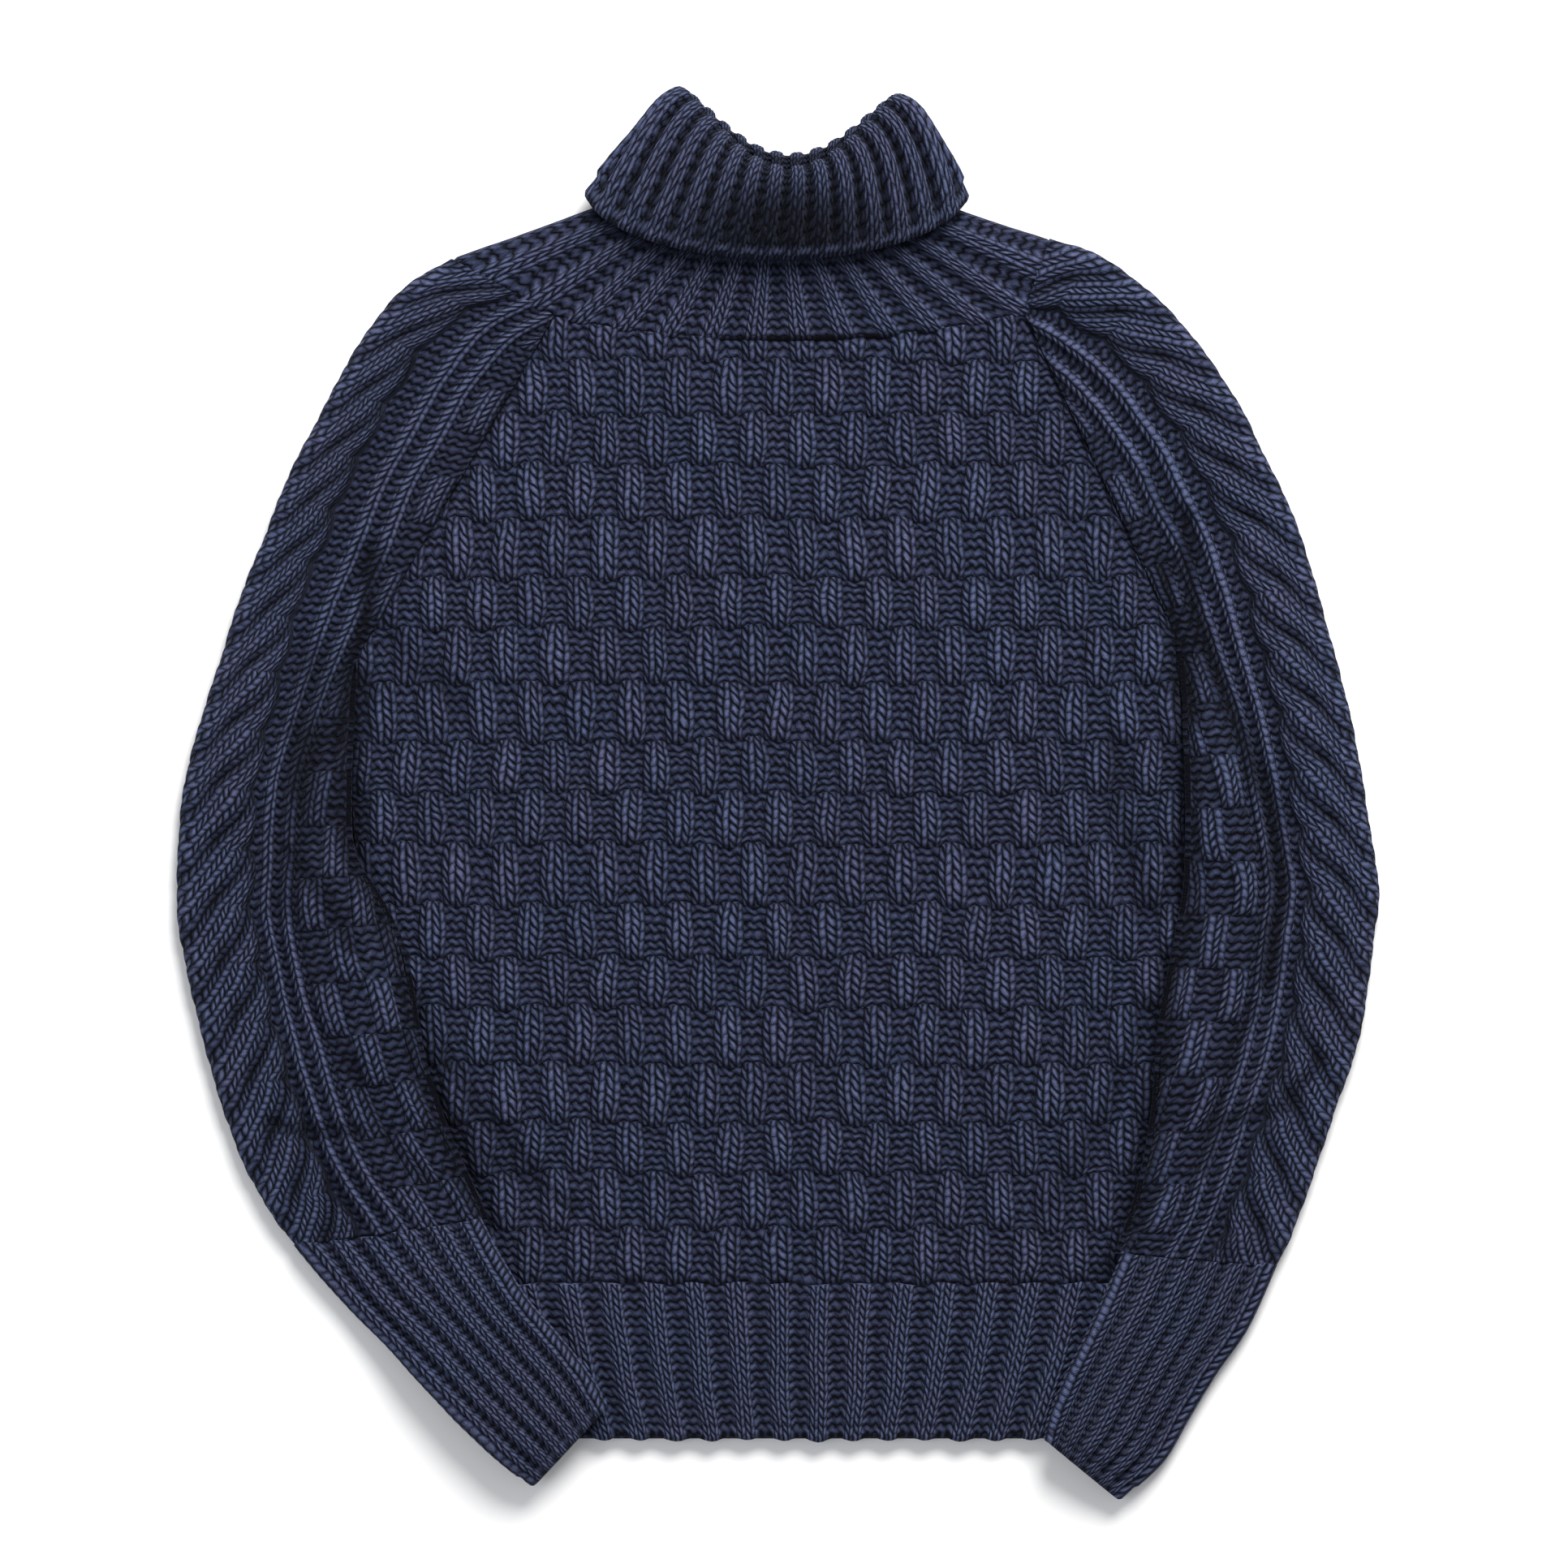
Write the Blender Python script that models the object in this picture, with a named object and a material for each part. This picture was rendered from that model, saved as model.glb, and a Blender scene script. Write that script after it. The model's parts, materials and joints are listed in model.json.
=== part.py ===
"""Turtleneck sweater in chunky basket and cable knit, laid flat with its face up.

Every panel is a knitted wall.  The front lies on the back, each sleeve is one sheet
wrapped round to an underarm seam, and the sleeves hang down over the sides of the body.
The ribbed collar stands from the neckband, folds at its rim and turns down outside.
+X is the wearer's left, +Y points from hem to collar and +Z points up from the surface.
"""
import math

import bpy
import numpy as np

MM = 0.001

# Cloth
WALL = 4.5 * MM
SEAM = 0.3 * MM
LAYER_GAP = 0.8 * MM
BACK_MIDDLE = WALL / 2
FRONT_MIDDLE = WALL + SEAM + WALL / 2

# Body, from the hem edge to the neck
HEM_EDGE_Y = -360 * MM
HEM_SEAM_Y = -274 * MM
UNDERARM = {"right": (-234 * MM, 72 * MM), "left": (222 * MM, 82 * MM)}
FRONT_RAGLAN_TOP = {"right": (-124 * MM, 263 * MM), "left": (136 * MM, 265 * MM)}
BACK_RAGLAN_TOP = {"right": (-116 * MM, 284 * MM), "left": (126 * MM, 288 * MM)}
SHOULDER_TIP = {"right": (-182 * MM, 295 * MM), "left": (151 * MM, 307 * MM)}
FRONT_NECK_DROP = 13 * MM
BACK_NECK_DROP = 2 * MM

# Side seams, one row for each level: y, right side x, left side x
BODY_SIDES = (
    (72, -234, 221),
    (37, -236, 225),
    (4, -237, 226),
    (-30, -235, 226),
    (-57, -234, 225),
    (-102, -231, 223),
    (-147, -226, 220),
    (-192, -219, 215),
    (-237, -209, 206),
    (-274, -198, 198),
    (-318, -185, 186),
    (-360, -166, 170),
)

# Basket stitch: two knit wales beside two purl wales, changed over every six rows
CELL_WIDTH = 13.7 * MM
BAND_HEIGHT = 30.2 * MM
BLOCK_RELIEF = 2.8 * MM
BLOCK_EDGE = 0.2
RELIEF_FADE = 8 * MM
SLAB_MARGIN = 12 * MM

# Ribs
RIB_RELIEF = 2.6 * MM
HEM_RIBS = 17
HEM_ROWS = 5
CUFF_RIBS = 5
CUFF_ROWS = 9

# Columns round the neckband and collar, two for each rib, by the stretch they cross
RIGHT_SLEEVE_TOP = 5
FRONT_NECK = 21
LEFT_SLEEVE_TOP = 4
LEFT_SLEEVE_BACK = 2
BACK_NECK = 20
RIGHT_SLEEVE_BACK = 4
FRONT_COLUMNS = RIGHT_SLEEVE_TOP + FRONT_NECK + LEFT_SLEEVE_TOP
BACK_COLUMNS = LEFT_SLEEVE_BACK + BACK_NECK + RIGHT_SLEEVE_BACK
NECKBAND_ROWS = 6
COLLAR_ROWS = 15

# Rope cable along the outer edge of each sleeve, then two narrow ribs
CABLE_CENTRE = 18 * MM
CABLE_HALF_WIDTH = 21 * MM
CABLE_PITCH = 32.5 * MM
CABLE_RELIEF = 4.2 * MM
CABLE_SLANT = 0.5
CABLE_CURL = 0.22
CABLE_GROOVE_SHARE = 0.3
LOBE_ROUNDNESS = 0.6
CABLE_ROWS_PER_PITCH = 4
CABLE_STEPS = tuple(step * MM for step in (0, 6, 12, 18, 24, 30, 36, 40.5))
UNDERSIDE_STEPS = tuple(step * MM for step in (3, 6, 24, 46.5, 64.5))
NARROW_RIBS = (46.5 * MM, 58.5 * MM)
NARROW_RIB_HALF_WIDTH = 6 * MM
BASKET_START = 65 * MM
SLEEVE_CELLS = 3
BASKET_SQUEEZE_START = 1.5 * MM
FOLD_RELIEF = 2.5 * MM
SIDEWAYS_SEAM = 0.45 * MM
UNDERARM_EASE = 6 * MM
UNDERARM_ROWS = 20 * MM
NECK_SEAM = 0.75 * MM
NECKBAND_HOLLOW = 10 * MM
STAND_SHARE = 0.45
RIM_LOOP = 4
FOLD_THINNING = 0.45
TIP_SHARE = 0.08
TIP_EASE = 2.2
INSIDE_FADE_START = 0.2
INSIDE_FADE_END = 0.87
DOWNWARD_FADE = 2.0

# Sleeve section: how far its two layers lie apart
FOLD_RADIUS = 3.4 * MM
MIDDLE_GAP = 3.0 * MM

# Rows and columns of the plain inner side, as every so many of the outer side's
SLEEVE_INNER_ROWS = 4
BAND_INNER_STEP = 2

# Sleeves drape over the edge of the body, which is this high
BODY_TOP = 12.6 * MM
DRAPE_REACH = 45 * MM
DRAPE_START_BELOW_UNDERARM = 8 * MM
DRAPE_FULL_BELOW_UNDERARM = 100 * MM

# Sleeve sections, one row each: outer edge x, y, then inner edge x, y
SLEEVE_SECTIONS = {
    "right": (
        (-182, 295, -124, 263),
        (-210, 275, -134, 245),
        (-234, 244, -149, 219),
        (-253, 209, -166, 190),
        (-272, 172, -183, 161),
        (-285, 139, -202, 128),
        (-298, 107, -218, 99),
        (-309, 72, -234, 72),
        (-321, 35, -238, 35),
        (-329, 4, -239, 4),
        (-333, -39, -236, -37),
        (-333, -71, -221, -62),
        (-328, -100, -209, -88),
        (-321, -130, -203, -120),
        (-311, -167, -197, -152),
        (-296, -208, -185, -188),
        (-269, -253, -163, -238),
    ),
    "left": (
        (151, 307, 136, 265),
        (176, 297, 144, 248),
        (200, 281, 153, 229),
        (224, 258, 164, 206),
        (243, 233, 173, 187),
        (258, 209, 182, 168),
        (270, 184, 191, 148),
        (283, 158, 201, 127),
        (294, 127, 211, 106),
        (303, 95, 222, 82),
        (318, 37, 227, 31),
        (329, -28, 228, -28),
        (333, -55, 227, -53),
        (330, -84, 222, -82),
        (320, -145, 212, -140),
        (311, -170, 210, -170),
        (300, -203, 205, -203),
        (288, -237, 197, -235),
        (277, -265, 189, -257),
    ),
}

# Swells of the sleeves' upper layer: height, half width, then points along the crest
SWELLS = {
    "right": (
        (6.5, 38, ((-246, -62), (-236, -95), (-222, -135))),
        (4.0, 34, ((-262, -150), (-240, -205))),
        (3.5, 36, ((-290, 60), (-300, 0))),
    ),
    "left": (
        (6.0, 27, ((239, 33), (250, -35), (247, -102), (232, -161))),
        (4.5, 30, ((262, 120), (282, 60), (303, -20), (305, -90))),
        (3.0, 30, ((268, -150), (245, -215))),
    ),
}
SWELL_SEAM_FADE = 0.16
SWELL_FOLD_FADE = 0.3

# Cuff sections in the same columns
CUFF_SECTIONS = {
    "right": (
        (-269, -253, -163, -238),
        (-243, -284, -150, -262),
        (-216, -311, -137, -282),
        (-191, -339, -122, -299),
        (-165, -365, -107, -317),
        (-139, -387, -94, -338),
    ),
    "left": (
        (277, -265, 189, -257),
        (261, -300, 177, -284),
        (245, -323, 167, -305),
        (230, -348, 157, -325),
        (214, -374, 149, -344),
        (192, -394, 146, -356),
    ),
}

# Collar loops through the middle of the wall, from the neckband up to the rim and back
# down to the cast-off edge.  Columns: right x, y, left x, y, side z, front y, z,
# back y, z, how sharply front and back dip between the sides, how late the back drops.
COLLAR_LOOPS = (
    (-84, 327, 83, 325, 13.5, 306, 20.5, 318, 8.6, 1.2, 1.8),
    (-80, 339, 84, 336, 14.0, 317, 24.5, 326, 8.6, 1.4, 1.8),
    (-67, 359, 77, 357, 15.5, 331, 29.0, 337, 8.8, 1.9, 1.8),
    (-54, 377, 65, 373, 16.5, 339, 32.5, 345, 8.6, 2.4, 1.6),
    (-55, 386, 66, 382, 17.5, 342.5, 37.0, 350, 5.6, 2.8, 1.2),
    (-63, 379, 74, 376, 17.5, 339, 41.5, 346, 2.6, 2.4, 0.9),
    (-75, 364, 84, 361, 17.0, 329, 42.0, 342, 2.25, 1.9, 0.8),
    (-91, 345, 95, 342, 16.0, 311, 35.5, 337, 2.25, 1.4, 0.8),
    (-104, 329, 102, 328, 15.0, 295, 28.0, 333, 2.25, 1.2, 0.8),
)

YARN_COLOUR = (0.026, 0.032, 0.062)
YARN_ROUGHNESS = 0.92


def smooth_step(value):
    value = np.clip(value, 0.0, 1.0)
    return value * value * (3.0 - 2.0 * value)


def table(rows):
    """A table in millimetres as an array in metres."""
    return np.array(rows, dtype=float) * MM


def spline(rows, count):
    """Sample a smooth curve through table rows, evenly along its length."""
    rows = np.asarray(rows, dtype=float)
    middle = 0.5 * (rows[:, 0:2] + rows[:, 2:4])
    lengths = np.linalg.norm(np.diff(middle, axis=0), axis=1)
    knots = np.concatenate(([0.0], np.cumsum(lengths)))
    return hermite(knots, rows, np.linspace(0.0, knots[-1], count)), knots[-1]


def hermite(knots, values, samples):
    """Cubic through values at knots, with slopes from their neighbours."""
    slopes = np.gradient(values, knots, axis=0)
    index = np.clip(np.searchsorted(knots, samples, side="right") - 1, 0, len(knots) - 2)
    step = (knots[index + 1] - knots[index])[:, None]
    part = (samples - knots[index])[:, None] / step
    square = part * part
    cube = square * part
    return (
        (2 * cube - 3 * square + 1) * values[index]
        + (cube - 2 * square + part) * step * slopes[index]
        + (3 * square - 2 * cube) * values[index + 1]
        + (cube - square) * step * slopes[index + 1]
    )


def side_x(y, side):
    """Where the body's side seam lies at a level."""
    rows = table(BODY_SIDES)[::-1]
    column = 1 if side == "right" else 2
    return np.interp(y, rows[:, 0], rows[:, column])


def line_x(y, start, end):
    """x on the straight line from start to end at a level."""
    share = (y - start[1]) / (end[1] - start[1])
    return start[0] + (end[0] - start[0]) * share


def neckline(count, tops, drop):
    """A shallow arc between the two raglan tops."""
    right = np.array(tops["right"])
    left = np.array(tops["left"])
    share = np.linspace(0.0, 1.0, count)
    points = right + (left - right) * share[:, None]
    points[:, 1] -= drop * (1.0 - np.abs(2.0 * share - 1.0) ** 2.5)
    return points


def make_material(name, shade):
    material = bpy.data.materials.new(name)
    material.use_nodes = True
    shader = material.node_tree.nodes["Principled BSDF"]
    shader.inputs["Base Color"].default_value = tuple(c * shade for c in YARN_COLOUR) + (1.0,)
    shader.inputs["Roughness"].default_value = YARN_ROUGHNESS
    shader.inputs["Metallic"].default_value = 0.0
    return material


def add_object(name, vertices, faces, collection, shade):
    mesh = bpy.data.meshes.new(name)
    mesh.from_pydata([tuple(v) for v in vertices], [], faces)
    mesh.update()
    mesh.validate()
    mesh.materials.append(make_material(name + "_yarn", shade))
    built = bpy.data.objects.new(name, mesh)
    collection.objects.link(built)
    return built


def squared(normal, facing):
    """Normals turned into the upright plane that a seam's facing direction is square to."""
    facing = facing / np.linalg.norm(facing, axis=-1, keepdims=True)
    normal = normal - facing * np.sum(normal * facing, axis=-1, keepdims=True)
    return normal / np.linalg.norm(normal, axis=-1, keepdims=True)


def level(vectors):
    """The horizontal part of vectors."""
    return vectors * np.array((1.0, 1.0, 0.0))


def normals_of(middle, ring, hand=1.0, first=None, last=None):
    """Unit normals of a grid of points, where columns may close into a ring.

    first and last are the directions that the first and last rows' seams face.
    """
    if ring:
        across = np.roll(middle, -1, axis=1) - np.roll(middle, 1, axis=1)
    else:
        across = np.gradient(middle, axis=1)
    along = np.gradient(middle, axis=0)
    normal = np.cross(across, along) * hand
    normal /= np.linalg.norm(normal, axis=2, keepdims=True)
    normal[0] = squared(normal[0], level(along[0]) if first is None else first)
    normal[-1] = squared(normal[-1], level(along[-1]) if last is None else last)
    if not ring:
        for column in (0, -1):
            facing = np.cross(along[:, column], (0.0, 0.0, 1.0))
            normal[:, column] = squared(normal[:, column], facing)
    return normal


def section_facing(section):
    """The horizontal direction square to a sleeve section, from its edges in plan."""
    run = section[0:2] - section[2:4]
    return np.array((-run[1], run[0], 0.0))


def wall(name, middle, normal, relief, kept_rows, kept_columns, ring, collection, shade,
         hand=1.0, inner_share=1.0):
    """Close a knitted wall round a grid of points through the middle of the cloth.

    The outer side carries the relief at every point.  The inner side is plain and keeps
    only some rows and columns, and the open edges are closed by faces between the two.
    inner_share thins the inner half of the wall, for the inside of a tight fold.
    """
    rows, columns = relief.shape
    outer = middle + normal * (WALL / 2 + relief)[..., None]
    inner = middle - normal * inner_share * WALL / 2
    inner = inner[np.ix_(kept_rows, kept_columns)]
    inner_rows, inner_columns = inner.shape[:2]
    vertices = np.concatenate((outer.reshape(-1, 3), inner.reshape(-1, 3)))

    def out_at(row, column):
        return row * columns + column % columns

    def in_at(row, column):
        return rows * columns + row * inner_columns + column % inner_columns

    faces = []
    for row in range(rows - 1):
        for column in range(columns if ring else columns - 1):
            faces.append([out_at(row, column), out_at(row, column + 1),
                          out_at(row + 1, column + 1), out_at(row + 1, column)])
    for row in range(inner_rows - 1):
        for column in range(inner_columns if ring else inner_columns - 1):
            faces.append([in_at(row, column), in_at(row + 1, column),
                          in_at(row + 1, column + 1), in_at(row, column + 1)])

    column_ends = list(kept_columns) + ([columns] if ring else [])
    for index in range(len(column_ends) - 1):
        span = range(column_ends[index], column_ends[index + 1] + 1)
        first = [out_at(0, column) for column in span]
        last = [out_at(rows - 1, column) for column in span]
        faces.append(first[::-1] + [in_at(0, index), in_at(0, index + 1)])
        faces.append(last + [in_at(inner_rows - 1, index + 1), in_at(inner_rows - 1, index)])
    if not ring:
        for index in range(inner_rows - 1):
            span = range(kept_rows[index], kept_rows[index + 1] + 1)
            first = [out_at(row, 0) for row in span]
            last = [out_at(row, columns - 1) for row in span]
            faces.append(first + [in_at(index + 1, 0), in_at(index, 0)])
            faces.append(last[::-1] + [in_at(index, inner_columns - 1),
                                       in_at(index + 1, inner_columns - 1)])
    if hand < 0:
        faces = [face[::-1] for face in faces]
    return add_object(name, vertices, faces, collection, shade)


def every(count, step):
    """Indices of every step-th row or column, with the last one."""
    return sorted(set(range(0, count - 1, step)) | {count - 1})


def drape_height(x, y):
    """How high the cloth under the sleeves lifts them: the body, and a slope beside it."""
    underarm = np.where(x < 0, UNDERARM["right"][1], UNDERARM["left"][1])
    below = underarm - y
    start = smooth_step((below - DRAPE_START_BELOW_UNDERARM)
                        / (DRAPE_FULL_BELOW_UNDERARM - DRAPE_START_BELOW_UNDERARM))
    edge = np.where(x < 0, side_x(y, "right"), side_x(y, "left"))
    beside = np.maximum(np.abs(x) - np.abs(edge), 0.0)
    past_hem = np.maximum(HEM_EDGE_Y - y, 0.0)
    distance = np.hypot(beside, past_hem)
    return BODY_TOP * start * (1.0 - smooth_step(distance / DRAPE_REACH))


def layers_apart(share):
    """Distance between the middles of a sleeve's two layers, from seam 0 to fold 1."""
    at_seam = WALL + LAYER_GAP
    at_fold = 2 * FOLD_RADIUS
    swell = (WALL + MIDDLE_GAP - 0.5 * (at_seam + at_fold)) * np.sin(math.pi * share) ** 2
    return at_seam + (at_fold - at_seam) * smooth_step(share * 1.6) + swell


def swell(x, y, share, side):
    """How far the sleeve's upper layer swells up, from nothing at its seam and its fold."""
    height = np.zeros(x.shape)
    for rise, half_width, crest in SWELLS[side]:
        points = table(crest)
        distance = np.full(x.shape, 1.0)
        for start, end in zip(points[:-1], points[1:]):
            run = end - start
            along = ((x - start[0]) * run[0] + (y - start[1]) * run[1]) / (run @ run)
            along = np.clip(along, 0.0, 1.0)
            gap = np.hypot(x - start[0] - along * run[0], y - start[1] - along * run[1])
            distance = np.minimum(distance, gap)
        near = smooth_step(1.0 - distance / (half_width * MM))
        height = np.maximum(height, rise * MM * near)
    fade = smooth_step(share / SWELL_SEAM_FADE) * smooth_step((1.0 - share) / SWELL_FOLD_FADE)
    return height * fade


def sleeve_points(sections, steps, back_edge, side):
    """The middle of a sleeve's wall.

    Each section runs from the inner edge over the top to the outer fold and back below.
    steps holds one row for each section: the distance from the fold of every column,
    positive on top and negative underneath.
    """
    outer = sections[:, 0:2]
    inner = sections[:, 2:4]
    across = outer - inner
    width = np.linalg.norm(across, axis=1, keepdims=True)
    across = across / width
    crest = width - WALL / 2 - FOLD_RELIEF
    arc = 0.5 * math.pi * FOLD_RADIUS
    run = np.abs(steps)
    angle = np.minimum(run, arc) / FOLD_RADIUS
    reach = crest - FOLD_RADIUS * (1.0 - np.cos(angle)) - np.maximum(run - arc, 0.0)
    plan = inner[:, None, :] + across[:, None, :] * reach[..., None]
    under = steps < 0
    share = np.clip(reach / crest, 0.0, 1.0)
    back_shift = back_edge[:, None, :] * (1.0 - share[..., None])
    plan = plan + np.where(under[..., None], back_shift, 0.0)
    turned = np.sin(angle)
    raised = swell(plan[..., 0], plan[..., 1], share, side)
    apart = np.where(run < arc, FOLD_RADIUS * 2, layers_apart(share) + raised)
    lift = drape_height(plan[..., 0], plan[..., 1])
    height = WALL / 2 + lift + np.where(
        under, apart * 0.5 * (1.0 - turned), apart * 0.5 * (1.0 + turned))
    flat = run >= arc
    height = np.where(flat, WALL / 2 + lift + np.where(under, 0.0, apart), height)
    return np.concatenate((plan, height[..., None]), axis=2)


def cable_relief(steps, along, hand):
    """Two strands twisted into a rope, as slanting lobes."""
    offset = (steps - CABLE_CENTRE) / CABLE_HALF_WIDTH
    round_form = np.sqrt(np.clip(1.0 - offset * offset, 0.0, 1.0))
    curl = CABLE_CURL * np.arcsin(np.clip(offset, -1.0, 1.0))
    turn = along / CABLE_PITCH + hand * (CABLE_SLANT * offset + curl)
    lobe = np.abs(np.cos(math.pi * turn)) ** LOBE_ROUNDNESS
    return CABLE_RELIEF * round_form * (CABLE_GROOVE_SHARE + (1.0 - CABLE_GROOVE_SHARE) * lobe)


def sleeve_relief(steps, along, cells, band, hand):
    """Height of the pattern over the plain wall: cable, narrow ribs, basket blocks."""
    relief = cable_relief(steps, along, hand)
    for rib in NARROW_RIBS:
        ridge = np.clip(1.0 - np.abs(steps - rib) / NARROW_RIB_HALF_WIDTH, 0.0, 1.0)
        relief = np.maximum(relief, RIB_RELIEF * ridge)
    blocks = np.where((cells + band) % 2 == 1, BLOCK_RELIEF, 0.0)
    relief = np.where(cells > 0, blocks, relief)
    return np.where(steps < 0, 0.0, relief)


def sleeve_columns(run):
    """Distances from the fold of a sleeve's columns, and the basket cell each lies in.

    The first column is the inner edge on top and the last one the same edge below.
    """
    squeeze = np.minimum((run - BASKET_SQUEEZE_START) / BASKET_START, 1.0)
    start = BASKET_START * squeeze
    cells = [(start + (run - start) * (cell - 0.5) / SLEEVE_CELLS, cell)
             for cell in range(SLEEVE_CELLS, 0, -1)]
    fixed = list(CABLE_STEPS)
    for rib in NARROW_RIBS:
        fixed += [rib, rib + NARROW_RIB_HALF_WIDTH]
    top = [(run, 0)] + cells + [(step * squeeze, 0) for step in reversed(fixed)]
    below = [(-step * squeeze, 0) for step in UNDERSIDE_STEPS]
    below += [(-step, 0) for step, cell in reversed(cells)] + [(-run, 0)]
    columns = top + below
    return np.stack([step for step, cell in columns], axis=1), np.array([c for s, c in columns])


def build_sleeve(side, collection, shade):
    rows = table(SLEEVE_SECTIONS[side])
    length = spline(rows, 2)[1]
    count = int(round(length / CABLE_PITCH * CABLE_ROWS_PER_PITCH)) + 1
    sections = spline(rows, count)[0]
    underarm = UNDERARM[side]
    outward = -1.0 if side == "right" else 1.0
    above = sections[:, 3] > underarm[1]
    seam = line_x(sections[:, 3], FRONT_RAGLAN_TOP[side], underarm)
    rise = (sections[:, 3] - underarm[1]) / (FRONT_RAGLAN_TOP[side][1] - underarm[1])
    back_rise = (BACK_RAGLAN_TOP[side][1] - FRONT_RAGLAN_TOP[side][1]) * np.clip(rise, 0.0, 1.0)
    back_seam = line_x(sections[:, 3] + back_rise, BACK_RAGLAN_TOP[side], underarm)
    back_edge = np.stack((np.where(above, back_seam - seam, 0.0), back_rise), axis=1)
    sections[:, 2] = np.where(above, seam, sections[:, 2]) + outward * SIDEWAYS_SEAM

    width = np.linalg.norm(sections[:, 0:2] - sections[:, 2:4], axis=1)
    run = width - WALL / 2 - FOLD_RELIEF + (0.5 * math.pi - 1.0) * FOLD_RADIUS
    steps, cells = sleeve_columns(run)
    middle = sleeve_points(sections, steps, back_edge, side)
    hand = -outward
    normal = normals_of(middle, False, hand, section_facing(sections[0]),
                        section_facing(sections[-1]))

    along = np.linspace(0.0, length, count)[:, None]
    band = np.floor(along / BAND_HEIGHT)
    relief = sleeve_relief(steps, along, cells[None, :], band, hand)
    top_columns = int(np.sum(steps[0] >= 0.0))
    kept = [0] + list(range(1, top_columns - len(CABLE_STEPS)))
    kept += [top_columns - 1 - index for index in (5, 3, 2, 1, 0)]
    kept += list(range(top_columns, steps.shape[1]))
    at_underarm = np.nonzero(np.abs(sections[:, 3] - underarm[1]) < UNDERARM_ROWS)[0]
    kept_rows = sorted(set(every(count, SLEEVE_INNER_ROWS)) | set(int(row) for row in at_underarm))
    return wall("sleeve_" + side, middle, normal, relief, kept_rows, sorted(set(kept)),
                False, collection, shade, hand)


def build_cuff(side, collection, shade):
    """A ribbed tube lying flat, from the end of the sleeve."""
    rows = table(CUFF_SECTIONS[side])
    sections = spline(rows, CUFF_ROWS)[0]
    end = sections[0] - sections[1]
    sections[0] -= end * SIDEWAYS_SEAM / np.linalg.norm(end[0:2])
    outer = sections[:, 0:2]
    inner = sections[:, 2:4]
    width = np.linalg.norm(outer - inner, axis=1)[:, None]
    across = (outer - inner) / width
    inset = WALL / 2 + RIB_RELIEF + FOLD_RADIUS
    share = np.linspace(0.0, 1.0, 2 * CUFF_RIBS + 1)
    top = inset + (width - 2 * inset) * share
    reach = np.concatenate((top, width - inset + FOLD_RADIUS, top[:, ::-2],
                            np.full_like(width, inset - FOLD_RADIUS)), axis=1)
    upper = np.concatenate((np.full(share.shape, 1.0), [0.5], np.zeros(share[::2].shape), [0.5]))
    plan = inner[:, None, :] + across[:, None, :] * reach[..., None]
    apart = 2 * FOLD_RADIUS
    height = WALL / 2 + drape_height(plan[..., 0], plan[..., 1]) + apart * upper
    middle = np.concatenate((plan, height[..., None]), axis=2)
    hand = 1.0 if side == "right" else -1.0
    normal = normals_of(middle, True, hand, section_facing(sections[0]),
                        section_facing(sections[-1]))
    relief = np.zeros(height.shape)
    relief[:, 0:share.size:2] = RIB_RELIEF
    kept = list(range(0, share.size, 2)) + list(range(share.size, height.shape[1]))
    return wall("cuff_" + side, middle, normal, relief, every(CUFF_ROWS, 1), kept,
                True, collection, shade, hand)


def collar_loop(row, columns):
    """One closed loop of the collar: across the front from right to left, then back."""
    right_x, right_y, left_x, left_y, side_z, front_y, front_z, back_y, back_z = row[:9]
    dip, back_drop = row[9:] / MM
    centre = 0.5 * (right_x + left_x)
    half_width = 0.5 * (left_x - right_x)
    angle = np.linspace(0.0, math.pi, 241)
    rise = np.sqrt(np.clip(np.sin(angle), 0.0, 1.0))
    halves = []
    for y_middle, z_middle, climb, count in ((front_y, front_z, 1.0, columns[0]),
                                             (back_y, back_z, back_drop, columns[1])):
        x = centre - half_width * np.cos(angle)
        side_y = right_y + (left_y - right_y) * (x - right_x) / (left_x - right_x)
        depth = rise ** (2.0 * dip)
        y = side_y + (y_middle - 0.5 * (right_y + left_y)) * depth
        z = side_z + (z_middle - side_z) * rise ** climb
        halves.append(evenly(np.stack((x, y, z), axis=1), count))
    return np.concatenate((halves[0][:-1], halves[1][::-1][:-1]))


def evenly(points, count):
    """Resample a polyline at count equal steps, with both its ends."""
    lengths = np.linalg.norm(np.diff(points, axis=0), axis=1)
    knots = np.concatenate(([0.0], np.cumsum(lengths)))
    samples = np.linspace(0.0, knots[-1], count + 1)
    return np.stack([np.interp(samples, knots, points[:, axis]) for axis in range(3)], axis=1)


def collar_share(columns):
    """How far each column lies round its half of a loop, from side to side."""
    return np.concatenate([np.arange(count) / count for count in columns])


def neck_ring():
    """The neckband's lower edge, and the direction its seam faces at each point.

    It runs over the right sleeve, the front and the left sleeve, then back below.
    """
    front = neckline(FRONT_NECK + 1, FRONT_RAGLAN_TOP, FRONT_NECK_DROP)
    back = neckline(BACK_NECK + 1, BACK_RAGLAN_TOP, BACK_NECK_DROP)[::-1]
    front = np.column_stack((front, np.full(len(front), FRONT_MIDDLE)))
    back = np.column_stack((back, np.full(len(back), BACK_MIDDLE)))
    stretches = (
        sleeve_top("right", front[0], RIGHT_SLEEVE_TOP, True),
        front[1:-1],
        sleeve_top("left", front[-1], LEFT_SLEEVE_TOP, True)[::-1],
        sleeve_top("left", back[0], LEFT_SLEEVE_BACK, False)[1:],
        back[1:-1],
        sleeve_top("right", back[-1], RIGHT_SLEEVE_BACK, False)[:0:-1],
    )
    ring = np.concatenate(stretches)
    facing = np.roll(ring, 1, axis=0) - np.roll(ring, -1, axis=0)
    facing = np.cross(facing, (0.0, 0.0, 1.0))
    facing[0] = facing[1]
    facing[FRONT_COLUMNS] = facing[FRONT_COLUMNS - 1]
    return ring, facing


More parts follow.
